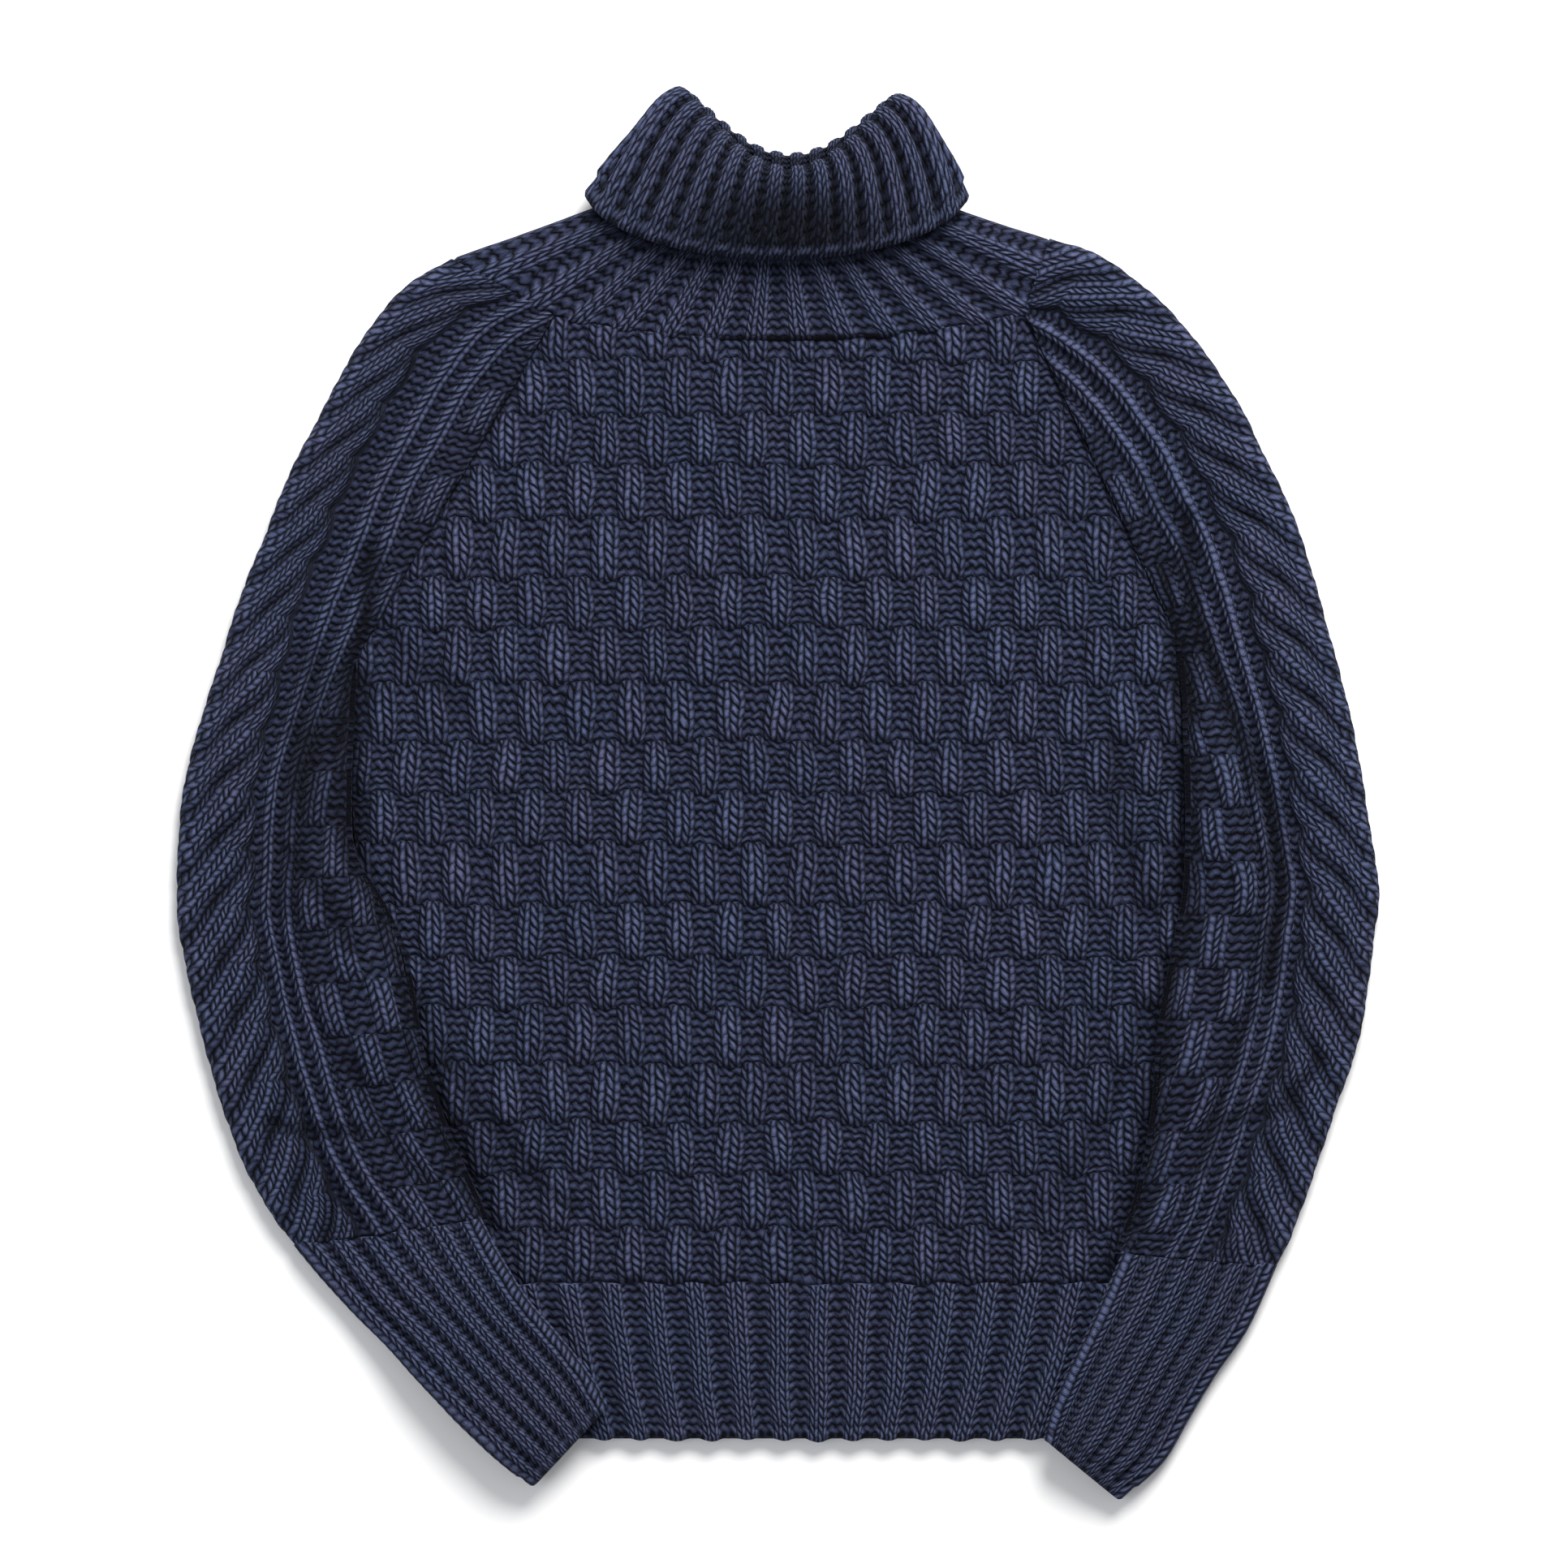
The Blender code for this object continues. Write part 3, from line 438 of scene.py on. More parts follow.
def neck_ring():
    """The neckband's lower edge, and the direction its seam faces at each point.

    It runs over the right sleeve, the front and the left sleeve, then back below.
    """
    front = neckline(FRONT_NECK + 1, FRONT_RAGLAN_TOP, FRONT_NECK_DROP)
    back = neckline(BACK_NECK + 1, BACK_RAGLAN_TOP, BACK_NECK_DROP)[::-1]
    front = np.column_stack((front, np.full(len(front), FRONT_MIDDLE)))
    back = np.column_stack((back, np.full(len(back), BACK_MIDDLE)))
    stretches = (
        sleeve_top("right", front[0], RIGHT_SLEEVE_TOP, True),
        front[1:-1],
        sleeve_top("left", front[-1], LEFT_SLEEVE_TOP, True)[::-1],
        sleeve_top("left", back[0], LEFT_SLEEVE_BACK, False)[1:],
        back[1:-1],
        sleeve_top("right", back[-1], RIGHT_SLEEVE_BACK, False)[:0:-1],
    )
    ring = np.concatenate(stretches)
    facing = np.roll(ring, 1, axis=0) - np.roll(ring, -1, axis=0)
    facing = np.cross(facing, (0.0, 0.0, 1.0))
    facing[0] = facing[1]
    facing[FRONT_COLUMNS] = facing[FRONT_COLUMNS - 1]
    return ring, facing


def sleeve_top(side, end, count, on_top):
    """From the outer fold of a sleeve's top edge to the raglan seam's end."""
    tip = np.array(SHOULDER_TIP[side] + (0.0,))
    run = level(end) - tip
    length = np.linalg.norm(run)
    inset = (WALL / 2 + FOLD_RELIEF) / length
    turned = inset + FOLD_RADIUS / length
    shares = np.concatenate(([inset], np.linspace(turned, 1.0, count)))
    points = tip + run * shares[:, None]
    points[:, 2] = BACK_MIDDLE + np.where(on_top, layers_apart(1.0 - shares), 0.0)
    points[0, 2] = BACK_MIDDLE + FOLD_RADIUS
    points[-1] = end
    return points


def edge_distance(x, y, outline):
    """How far points lie from the nearest edge of an outline."""
    nearest = np.full(x.shape, 1.0)
    points = np.array(outline)
    for start, end in zip(points, np.roll(points, -1, axis=0)):
        run = end - start
        share = np.clip(((x - start[0]) * run[0] + (y - start[1]) * run[1]) / (run @ run), 0, 1)
        gap = np.hypot(x - start[0] - share * run[0], y - start[1] - share * run[1])
        nearest = np.minimum(nearest, gap)
    return nearest


def body_outline(tops, drop, neck_points):
    """A body panel's outline, anticlockwise from the right end of the hem seam."""
    sides = table(BODY_SIDES)
    sides = sides[(sides[:, 0] < UNDERARM["right"][1]) & (sides[:, 0] >= HEM_SEAM_Y - SEAM)]
    left_sides = table(BODY_SIDES)
    left_sides = left_sides[left_sides[:, 0] >= HEM_SEAM_Y - SEAM][1:]
    right = [(row[1], row[0]) for row in sides]
    left = [(row[2], row[0]) for row in left_sides]
    neck = [tuple(point) for point in neckline(neck_points, tops, drop)]
    eased = {}
    for side in ("right", "left"):
        y = UNDERARM[side][1] + UNDERARM_EASE
        eased[side] = (float(line_x(y, tops[side], UNDERARM[side])), y)
    outline = right[::-1] + [eased["right"]] + neck + [eased["left"]] + left
    return outline[::-1]


def hem_outline():
    """The hem's outline, anticlockwise from the right end of its lower edge."""
    levels = [HEM_EDGE_Y + (HEM_SEAM_Y - SEAM - HEM_EDGE_Y) * step / (HEM_ROWS - 1)
              for step in range(HEM_ROWS)]
    left = [(float(side_x(y, "left")), y) for y in levels]
    right = [(float(side_x(y, "right")), y) for y in levels]
    return left + right[::-1]


# Knitted surface

STITCH = 6.85 * MM
ROW = BAND_HEIGHT / 6
PER_STITCH = 4
PER_ROW = 3
LEG_SPLIT = (0.0, 0.3, 0.58, 0.8)
KNIT_DEPTH = 0.75 * MM
GRAIN_DEPTH = 0.3 * MM
PURL_DEPTH = 0.6 * MM
RIB_GATHER = 0.28
PURL, KNIT, CABLE = 0.0, 1.0, 2.0

# The neckband sags over the front here: middle and half length along the neckline
NECK_CREASE = (24 * MM, 92 * MM)


# Creases and hollows: half width and depth in mm, darkness of their painted shade, then points along
# each
FOLDS = {
    "front": (
        (14, 2.2, 0.72, ((-234, 60), (-238, 10), (-232, -60), (-208, -120), (-196, -170))),
        (13, 1.9, 0.62, ((-196, -160), (-182, -195), (-163, -240))),
        (9, 1.6, 0.4, ((-204, -112), (-168, -176), (-132, -214))),
        (8, 1.4, 0.35, ((-198, -165), (-160, -205), (-112, -232))),
        (14, 1.4, 0.35, ((-226, 105), (-205, 72), (-176, 50))),
        (14, 2.2, 0.72, ((226, 60), (229, -20), (229, -66), (217, -118), (214, -165))),
        (13, 1.9, 0.62, ((214, -160), (200, -225), (184, -268))),
        (13, 1.8, 0.4, ((186, 26), (190, -12), (206, -66))),
        (11, 2.0, 0.8, ((213, 124), (222, 84), (229, 40))),
        (10, 1.2, 0.3, ((205, -120), (176, -190), (150, -232))),
        (2.7, 1.4, 0.95, ((150, 241), (151, 240))),
        (2.7, 1.4, 0.95, ((-150, 238), (-151, 237))),
        (2.7, 1.4, 0.9, ((-163, 212), (-164, 210))),
        (2.7, 1.4, 0.9, ((165, 214), (166, 212))),
    ),
    "right": (
        (10, 3.2, 0.85, ((-226, 132), (-229, 96), (-238, 62), (-243, 30))),
        (17, 2.6, 0.7, ((-262, 26), (-265, 2))),
        (20, 0.8, 0.4, ((-258, 70), (-264, 0), (-272, -62))),
        (8, 2.6, 0.6, ((-272, -34), (-250, -60), (-236, -88))),
        (7, 2.2, 0.5, ((-282, -184), (-262, -190), (-232, -190))),
        (8, 2.0, 0.45, ((-238, -150), (-222, -186), (-196, -214))),
        (11, 1.5, 0.6, ((-240, 34), (-242, 4), (-239, -37), (-224, -62), (-212, -90))),
        (9, 1.5, 0.5, ((-210, -90), (-203, -150), (-188, -190), (-166, -236))),
        (2.7, 1.4, 0.95, ((-156, 246), (-157, 245))),
        (2.7, 1.4, 0.95, ((-164, 229), (-165, 228))),
        (2.7, 1.4, 0.95, ((-172, 240), (-173, 240))),
    ),
    "left": (
        (9, 2.4, 0.85, ((213, 124), (222, 84), (229, 40))),
        (11, 3.4, 0.8, ((226, 150), (231, 96), (250, 44), (272, -9), (279, -55), (270, -107))),
        (9, 1.6, 0.5, ((229, 82), (229, 30), (231, -30), (230, -60), (222, -96))),
        (9, 1.5, 0.5, ((218, -100), (214, -150), (208, -205), (194, -254))),
        (8, 2.2, 0.45, ((300, -150), (280, -176), (240, -186))),
        (8, 2.0, 0.4, ((262, -120), (246, -160), (236, -210))),
        (8, 1.8, 0.35, ((206, 176), (216, 150), (232, 128))),
        (2.7, 1.4, 0.95, ((156, 256), (157, 255))),
        (2.7, 1.4, 0.95, ((158, 244), (158, 243))),
        (2.7, 1.4, 0.95, ((163, 235), (164, 234))),
        (2.7, 1.4, 0.95, ((176, 222), (177, 221))),
    ),
}


def folded(x, y, part):
    """How deep the creases of a part run, and how much of the colour their painted shade leaves, at
    points in plan.
    """
    drop = np.zeros(x.shape)
    light = np.ones(x.shape)
    uneven = 1.0 + 0.35 * noise(x, y, 17 * MM, 31)
    for half_width, depth, shade_strength, crease in FOLDS[part]:
        points = table(crease)
        distance = np.full(x.shape, 1.0)
        for start, end in zip(points[:-1], points[1:]):
            run = end - start
            share = ((x - start[0]) * run[0] + (y - start[1]) * run[1]) / (run @ run)
            share = np.clip(share, 0.0, 1.0)
            gap = np.hypot(x - start[0] - share * run[0], y - start[1] - share * run[1])
            distance = np.minimum(distance, gap)
        near = smooth_step(1.0 - distance / (half_width * MM * uneven))
        drop = np.maximum(drop, depth * MM * near)
        # Painted shade: each crease darkens the colour over its width.
        light = light * (1.0 - shade_strength * near)
    return drop, light


def noise(x, y, size, seed):
    """Smooth random waves from -1 to 1 over points in plan."""
    values = np.random.default_rng(seed).uniform(-1.0, 1.0, (64, 64))
    column, row = x / size + 31.3, y / size + 29.7
    left, low = np.floor(column).astype(int), np.floor(row).astype(int)
    across, up = smooth_step(column - left), smooth_step(row - low)

    def at(i, j):
        return values[i % 64, j % 64]

    bottom = at(low, left) * (1 - across) + at(low, left + 1) * across
    top = at(low + 1, left) * (1 - across) + at(low + 1, left + 1) * across
    return bottom * (1 - up) + top * up


def leg_places(u):
    """Columns shifted so that the slanting left legs are wider than the right ones."""
    whole = np.floor(u + 1e-9)
    quarter = np.rint((u - whole) * PER_STITCH).astype(int) % PER_STITCH
    return whole + np.array(LEG_SPLIT)[quarter]


def stitch_height(u, v, knit):
    """Ridge height of the stitches at lattice points, knit or purl."""
    leg = 0.5 - 0.5 * np.cos(4.0 * math.pi * u)
    between = 0.5 + 0.5 * np.cos(2.0 * math.pi * u)
    slant = np.where(u % 1.0 < 0.5, 0.9, -0.2) * (2.0 * u % 1.0)
    grain = np.abs(np.sin(math.pi * (v + slant)))
    face = KNIT_DEPTH * (leg - 0.6 * between) + GRAIN_DEPTH * (grain - 0.6)
    bump = np.abs(np.sin(math.pi * (v + 0.18 * np.cos(2.0 * math.pi * u))))
    back = PURL_DEPTH * (1.6 * bump - 1.1)
    return np.where(knit > 0.5, face, back)


def gathered(u):
    """Columns shifted so that the knit wales of ribs close up over the purl ones."""
    return u + RIB_GATHER * np.sin(0.5 * math.pi * u)


def finer(grid, row_count, column_count, ring, gather=False):
    """A smooth finer grid through the points of a coarse one."""
    rows, columns = grid.shape[:2]
    flat = grid.reshape(rows, -1)
    grid = hermite(np.arange(rows, dtype=float), flat, np.linspace(0, rows - 1, row_count))
    grid = grid.reshape(row_count, columns, -1).swapaxes(0, 1)
    if ring:
        grid = np.concatenate((grid[-3:], grid, grid[:4]))
        knots = np.arange(-3.0, columns + 4.0)
        samples = np.arange(column_count) * columns / column_count
        if gather:
            samples = gathered(2.0 * samples) / 2.0
    else:
        knots = np.arange(float(columns))
        samples = np.linspace(0, columns - 1, column_count)
    shape = grid.shape
    grid = hermite(knots, grid.reshape(shape[0], -1), samples)
    return grid.reshape(column_count, row_count, -1).swapaxes(0, 1)


def rolled_end(points, normals, heights, reach, at_start):
    """Two more rows that roll the cloth's outer side over its edge."""
    if at_start:
        points, normals, heights = points[::-1], normals[::-1], heights[::-1]
    away = points[-1] - points[-3]
    away /= np.maximum(np.linalg.norm(away, axis=1, keepdims=True), 1e-9)
    extra = []
    for turn in (0.25 * math.pi, 0.5 * math.pi):
        lift = (heights[-1] * math.cos(turn))[:, None] * normals[-1]
        extra.append(points[-1] + lift + away * reach * math.sin(turn))
    return extra[::-1] if at_start else extra


def knit_wall(name, nodes, middle, normal, height, u, v, kinds, ring=False, hand=1.0,
              skip=(12, 16), thin=None, rolls=(True, True), shade=None, sides=None):
    """A closed knitted wall round a fine grid of points through the middle of the cloth.

    height is the outer side's distance from the middle.  u and v count stitches and rows
    at every point, with one more column where the grid closes into a ring, and kinds
    names the stitch in every face of the outer side.  shade is painted shade that darkens
    the colour in hollows, and sides are the ways that the open first and last columns
    roll over.
    """
    rows, columns = height.shape
    outer = middle + normal * height[..., None]
    share = 1.0 if thin is None else thin
    inner = middle - normal * WALL / 2 * share
    kept_rows = sorted(set(range(0, rows, skip[0])) | {rows - 1})
    kept_columns = sorted(set(range(0, columns, skip[1])) | (set() if ring else {columns - 1}))
    inner = inner[np.ix_(kept_rows, kept_columns)]
    reach = 0.5 * WALL
    first = rolled_end(middle, normal, height, reach, True) if rolls[0] else []
    last = rolled_end(middle, normal, height, reach, False) if rolls[1] else []
    outer = np.concatenate([part[None] for part in first] + [outer] + [part[None] for part in last])
    before, after = len(first), len(last)
    v = np.concatenate([v[:1]] * before + [v] + [v[-1:]] * after)
    u = np.concatenate([u[:1]] * before + [u] + [u[-1:]] * after)
    kinds = np.concatenate([kinds[:1]] * before + [kinds] + [kinds[-1:]] * after)
    all_rows = rows + before + after
    shade = np.ones(height.shape) if shade is None else shade
    shade = np.concatenate([shade[:1]] * before + [shade] + [shade[-1:]] * after)
    if sides is not None:
        core = np.concatenate([middle[:1]] * before + [middle] + [middle[-1:]] * after)
        first, last = [], []
        for turn in (0.5 * math.pi, 0.36 * math.pi, 0.2 * math.pi):
            for column, away, extra in ((0, sides[0], first), (-1, sides[1], last)):
                out = core[:, column] + (outer[:, column] - core[:, column]) * math.cos(turn)
                extra.append((out + away * math.sin(turn))[:, None])
        outer = np.concatenate(first + [outer] + last[::-1], axis=1)
        u, v, kinds = (np.concatenate([grid[:, :1]] * 3 + [grid] + [grid[:, -1:]] * 3, axis=1)
                       for grid in (u, v, kinds))
        # Painted shade: the rolled side columns are painted darker than the edge beside them.
        shade = np.concatenate([shade[:, :1] * 0.7] * 3 + [shade] + [shade[:, -1:] * 0.7] * 3,
                               axis=1)
        kept_columns = [column + 3 for column in kept_columns]
        kept_columns[0], kept_columns[-1] = 0, columns + 5
        columns += 6

    points = np.concatenate((outer.reshape(-1, 3), inner.reshape(-1, 3)))
    wide = columns if ring else columns - 1
    row, column = np.meshgrid(np.arange(all_rows - 1), np.arange(wide), indexing="ij")
    row, column = row.ravel(), column.ravel()
    corner_rows = np.stack((row, row, row + 1, row + 1), axis=1)
    corner_columns = np.stack((column, column + 1, column + 1, column), axis=1)
    quads = corner_rows * columns + corner_columns % columns
    quad_u = u[corner_rows, corner_columns]
    quad_v = v[corner_rows, corner_columns]
    quad_kinds = kinds[row, column]

    base = all_rows * columns
    inner_rows, inner_columns = inner.shape[:2]
    faces, places, face_kinds = [], [], []

    def in_at(i, j):
        return base + i * inner_columns + j % inner_columns

    def add(face, kind=PURL):
        faces.append(face)
        face_kinds.append(kind)

    for i in range(inner_rows - 1):
        for j in range(inner_columns if ring else inner_columns - 1):
            add([in_at(i, j), in_at(i + 1, j), in_at(i + 1, j + 1), in_at(i, j + 1)])
    ends = kept_columns + ([columns] if ring else [])
    for j in range(len(ends) - 1):
        span = [column % columns for column in range(ends[j], ends[j + 1] + 1)]
        add(span[::-1] + [in_at(0, j), in_at(0, j + 1)])
        top = [(all_rows - 1) * columns + column for column in span]
        add(top + [in_at(inner_rows - 1, j + 1), in_at(inner_rows - 1, j)])
    if not ring:
        for i in range(inner_rows - 1):
            low = 0 if i == 0 else kept_rows[i] + before
            high = all_rows - 1 if i == inner_rows - 2 else kept_rows[i + 1] + before
            left = [row * columns for row in range(low, high + 1)]
            right = [row * columns + columns - 1 for row in range(low, high + 1)]
            add(left + [in_at(i + 1, 0), in_at(i, 0)])
            add(right[::-1] + [in_at(i, inner_columns - 1), in_at(i + 1, inner_columns - 1)])

    keys, kept, where = np.unique(np.rint(points / (0.004 * MM)).astype(np.int64), axis=0,
                                  return_index=True, return_inverse=True)
    where = where.ravel()
    points = points[kept]
    merged, corners_u, corners_v, merged_kinds = [], [], [], []
    for quad, pu, pv, kind in zip(where[quads].tolist(), quad_u.tolist(), quad_v.tolist(),
                                  quad_kinds.tolist()):
        keep = [k for k in range(4) if quad[k] != quad[k - 1]]
        if len(keep) > 2 and len(set(quad)) == len(keep):
            merged.append([quad[k] for k in keep])
            corners_u += [pu[k] for k in keep]
            corners_v += [pv[k] for k in keep]
            merged_kinds.append(kind)
    for face, kind in zip(faces, face_kinds):
        face = where[face].tolist()
        face = [face[k] for k in range(len(face)) if face[k] != face[k - 1]]
        if len(face) > 2 and len(set(face)) == len(face):
            merged.append(face)
            corners_u += [points[p][0] / STITCH for p in face]
            corners_v += [points[p][1] / ROW for p in face]
            merged_kinds.append(kind)
    if hand < 0:
        start = 0
        for index, face in enumerate(merged):
            stop = start + len(face)
            merged[index] = face[::-1]
            corners_u[start:stop] = corners_u[start:stop][::-1]
            corners_v[start:stop] = corners_v[start:stop][::-1]
            start = stop
    mesh = bpy.data.meshes.new(name)
    mesh.from_pydata(points.tolist(), [], merged)
    layer = mesh.uv_layers.new(name="stitch")
    layer.data.foreach_set("uv", np.column_stack((corners_u, corners_v)).ravel())
    kind = mesh.attributes.new("kind", "FLOAT", "FACE")
    kind.data.foreach_set("value", merged_kinds)
    # Painted shade for the yarn's colour at every point; the inner side gets a fixed painted shade.
    dark = mesh.attributes.new("shade", "FLOAT", "POINT")
    dark.data.foreach_set("value", np.append(shade, np.full(inner.size // 3, 0.6))[kept])
    mesh.shade_smooth()
    mesh.materials.append(YARN)
    piece = bpy.data.objects.new(name, mesh)
    bpy.context.scene.collection.objects.link(piece)
    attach(piece, "root")
    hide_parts(*nodes)
    return piece


def lattice(count, per):
    """Evenly divided lattice places over a count of stitches or rows."""
    return np.linspace(0.0, count, int(round(count * per)) + 1)


def face_middles(grid):
    return 0.25 * (grid[:-1, :-1] + grid[1:, :-1] + grid[:-1, 1:] + grid[1:, 1:])


def hem_wave(x):
    """How the seam between the basket blocks and the hem's ribs wanders."""
    return (0.9 * np.sin(2.0 * math.pi * x / (2.0 * CELL_WIDTH)) + noise(x, 0 * x, 17 * MM, 44)) * MM


def front_looks():
    """Basket blocks over the front, cut to the raglan seams, the sides and the neck."""
    low = WALL + SEAM
    outline = body_outline(FRONT_RAGLAN_TOP, FRONT_NECK_DROP, FRONT_NECK + 1)
    first, last = -36, 36
    u = np.arange(first * PER_STITCH, last * PER_STITCH + 1) / PER_STITCH
    height = FRONT_RAGLAN_TOP["left"][1] - HEM_SEAM_Y + 2 * MM
    v = lattice(math.ceil(height / ROW), PER_ROW)
    u, v = np.meshgrid(u, v)
    band = np.floor(v / 6 + 1e-9)
    phase = v / 6 - band
    bulge = np.sin(math.pi * phase)
    sign = np.where(band % 2 == 0, 1.0, -1.0)
    places = leg_places(u)
    x = (0.5 * places - 0.5) * CELL_WIDTH - sign * bulge * np.cos(0.5 * math.pi * u) * 1.5 * MM
    tall = np.random.default_rng(21).uniform(-1.8 * MM, 1.8 * MM, 40)
    y = HEM_SEAM_Y + v * ROW + np.interp(v, 6.0 * np.arange(40), tall) * (v > 0)
    x = x + noise(x, y, 24 * MM, 3) * 1.5 * MM + noise(x, y, 11 * MM, 13) * 0.7 * MM
    free = smooth_step((y - HEM_SEAM_Y) / (30 * MM))
    y = y + (noise(x, y, 30 * MM, 4) * 1.8 + noise(x, y, 10 * MM, 14) * 0.7) * MM * free
    border = np.rint(v / 6)
    upward = np.where((np.floor(u / 2 + 1e-9) + border) % 2 == 0, -1.0, 1.0)
    rounded = np.abs(np.sin(0.5 * math.pi * u)) * np.exp(-((v - 6 * border) / 1.4) ** 2)
    y = y + upward * rounded * 1.2 * MM * (border > 0)
    y = y + hem_wave(x) * np.exp(-v / 2.5)
    seam = {}
    for side, sense in (("right", 1.0), ("left", -1.0)):
        raglan = line_x(y, FRONT_RAGLAN_TOP[side], UNDERARM[side])
        seam[side] = np.where(y > UNDERARM[side][1], raglan, side_x(y, side)) + sense * SEAM / 2
    x = np.clip(x, seam["right"], seam["left"])
    arc = neckline(61, FRONT_RAGLAN_TOP, FRONT_NECK_DROP)
    y = np.minimum(y, np.interp(x, arc[:, 0], arc[:, 1]) - SEAM / 2)

    cell = np.floor(u / 2 + 1e-9)
    knit = (cell + band) % 2 == 0
    inside = np.clip(u / 2 - cell, 0.0, 1.0)
    pillow = np.sqrt(np.clip(np.sin(math.pi * inside), 0, 1)) * np.clip(bulge, 0, 1) ** 0.4
    plump = np.random.default_rng(22).uniform(0.75, 1.25, (40, 80))
    pillow = pillow * plump[band.astype(int) % 40, cell.astype(int) % 80]
    near = smooth_step(edge_distance(x, y, outline) / RELIEF_FADE)
    blocks = np.where(knit, BLOCK_RELIEF * 1.3 * pillow, -0.6 * MM)
    relief = (blocks + stitch_height(u, v, knit)) * (0.5 + 0.5 * near)
    relief = relief + noise(x, y, 14 * MM, 5) * 0.4 * MM * near
    relief = relief + noise(x, y, 70 * MM, 6) * 1.0 * MM * near
    to_neck = np.abs(y - np.interp(x, arc[:, 0], arc[:, 1]) + SEAM / 2)
    crease = smooth_step(1.0 - np.abs(x - NECK_CREASE[0]) / NECK_CREASE[1])
    at_hem = smooth_step(v / 3.0)
    seam_dip = np.where(to_neck < 5 * MM, 3.2 * crease, 1.0 * at_hem) * MM
    relief = relief - seam_dip * (1.0 - smooth_step(edge_distance(x, y, outline) / (4.5 * MM)))
    at_seam = 1.0 - smooth_step(edge_distance(x, y, outline) / (5 * MM))
    # Painted shade: raised knit pillows lighter, sunken purl darker, darker along the neck crease
    # and the hem seam, then the creases' painted shade.
    shade = np.where(knit, 0.55 + 0.45 * pillow, 0.52 + 0.14 * np.sin(math.pi * inside))
    shade = shade * (1.0 - at_seam * np.where(to_neck < 6 * MM, 0.85 * crease, 0.3 * at_hem))
    drop, light = folded(x, y, "front")
    relief = np.maximum(relief - drop, -1.7 * MM)
    shade = shade * light
    away = np.where(y[:, :1] < UNDERARM["right"][1] + 8 * MM, 3.2 * MM, 0.6 * MM)
    away = away * np.array((1.0, 0.0, 0.0))
    middle = np.stack((x, y, np.full(x.shape, low + WALL / 2)), axis=2)
    normal = np.broadcast_to(np.array((0.0, 0.0, 1.0)), middle.shape)
    kinds = (np.floor(face_middles(u) / 2) + np.floor(face_middles(v) / 6)) % 2 == 0
    return knit_wall("front_knit", ["front_panel"], middle, normal, WALL / 2 + relief, u, v,
                     kinds.astype(float), rolls=(False, False), shade=shade,
                     sides=(-away, away))


def front_hem_looks():
    ribs = 2 * HEM_RIBS
    count = int(round((HEM_SEAM_Y - HEM_EDGE_Y) / ROW))
    u, v = np.meshgrid(lattice(2 * ribs, PER_STITCH), lattice(count, PER_ROW))
    wave = 1.1 * MM * np.cos(0.5 * math.pi * (u - 2.0)) + noise(u * STITCH, 0 * u, 19 * MM, 41) * MM
    end = HEM_EDGE_Y + 2 * MM - wave
    levels = HEM_SEAM_Y + (end - HEM_SEAM_Y) * (v / count) - wave * (v / count - (v / count) ** 4)
    share = leg_places(u) / (2 * ribs)
    share = np.clip(share, 0.0, 1.0)
    right, left = side_x(levels, "right"), side_x(levels, "left")
    x = right + (left - right) * share
    levels = levels + hem_wave(x) * np.exp(-v / 2.5)
    x = x + noise(x, levels, 20 * MM, 8) * 1.0 * MM * np.sin(math.pi * share)
    middle = np.stack((x, levels, np.full(x.shape, FRONT_MIDDLE)), axis=2)
    relief = rib_relief(u, v, 1)
    knit = rib_kinds(u, 1)
    relief = relief + stitch_height(u, v, knit)
    relief = relief * (1.0 - 0.2 * np.exp(-v / 0.9))
    relief = relief + noise(x, levels, 22 * MM, 42) * 0.5 * MM
    relief = cast_off(relief, v, count)
    normal = normals_of(middle, False, -1.0)
    away = np.broadcast_to(np.array((3.0 * MM, 0.0, 0.0)), (len(v) + 2, 3))
    return knit_wall("front_hem_knit", ["front_hem_rib"], middle, normal, WALL / 2 + relief,
                     u, -v, rib_kinds(face_middles(u), 1), hand=-1.0, rolls=(False, True),
                     shade=rib_shade(u, 1, 0.5), sides=(-away, away))


def cast_off(relief, v, count):
    """The last row is a cord of chain stitches along the open edge, after a small dip."""
    to_end = count - v
    cord = 1.0 * MM + 0.25 * relief
    relief = np.where(to_end < 0.9, cord, relief)
    return np.where((to_end >= 0.9) & (to_end < 1.4), relief * 0.5, relief)


# Painted shade across ribs: the sunken purl wales painted darker, down to low, the knit wales full.
def rib_shade(u, odd, low):
    swing = 0.5 + 0.5 * np.cos(0.5 * math.pi * (u - 2.0 * odd))
    return low + (1.0 - low) * smooth_step(swing * 1.3)


def rib_kinds(u, odd):
    """Two knit wales, centred on every other column of the ribs, beside two purl."""
    return (np.floor((u + 1.0) / 2.0) % 2 == odd).astype(float)


def rib_relief(u, v, odd, high=1.15, low=-0.3):
    """Rounded ribs of two knit wales with two sunken purl wales between them."""
    swing = np.cos(0.5 * math.pi * (u - 2.0 * odd))
    share = 0.5 + 0.5 * np.sign(swing) * np.abs(swing) ** 0.6
    return RIB_RELIEF * (low + (high - low) * share)


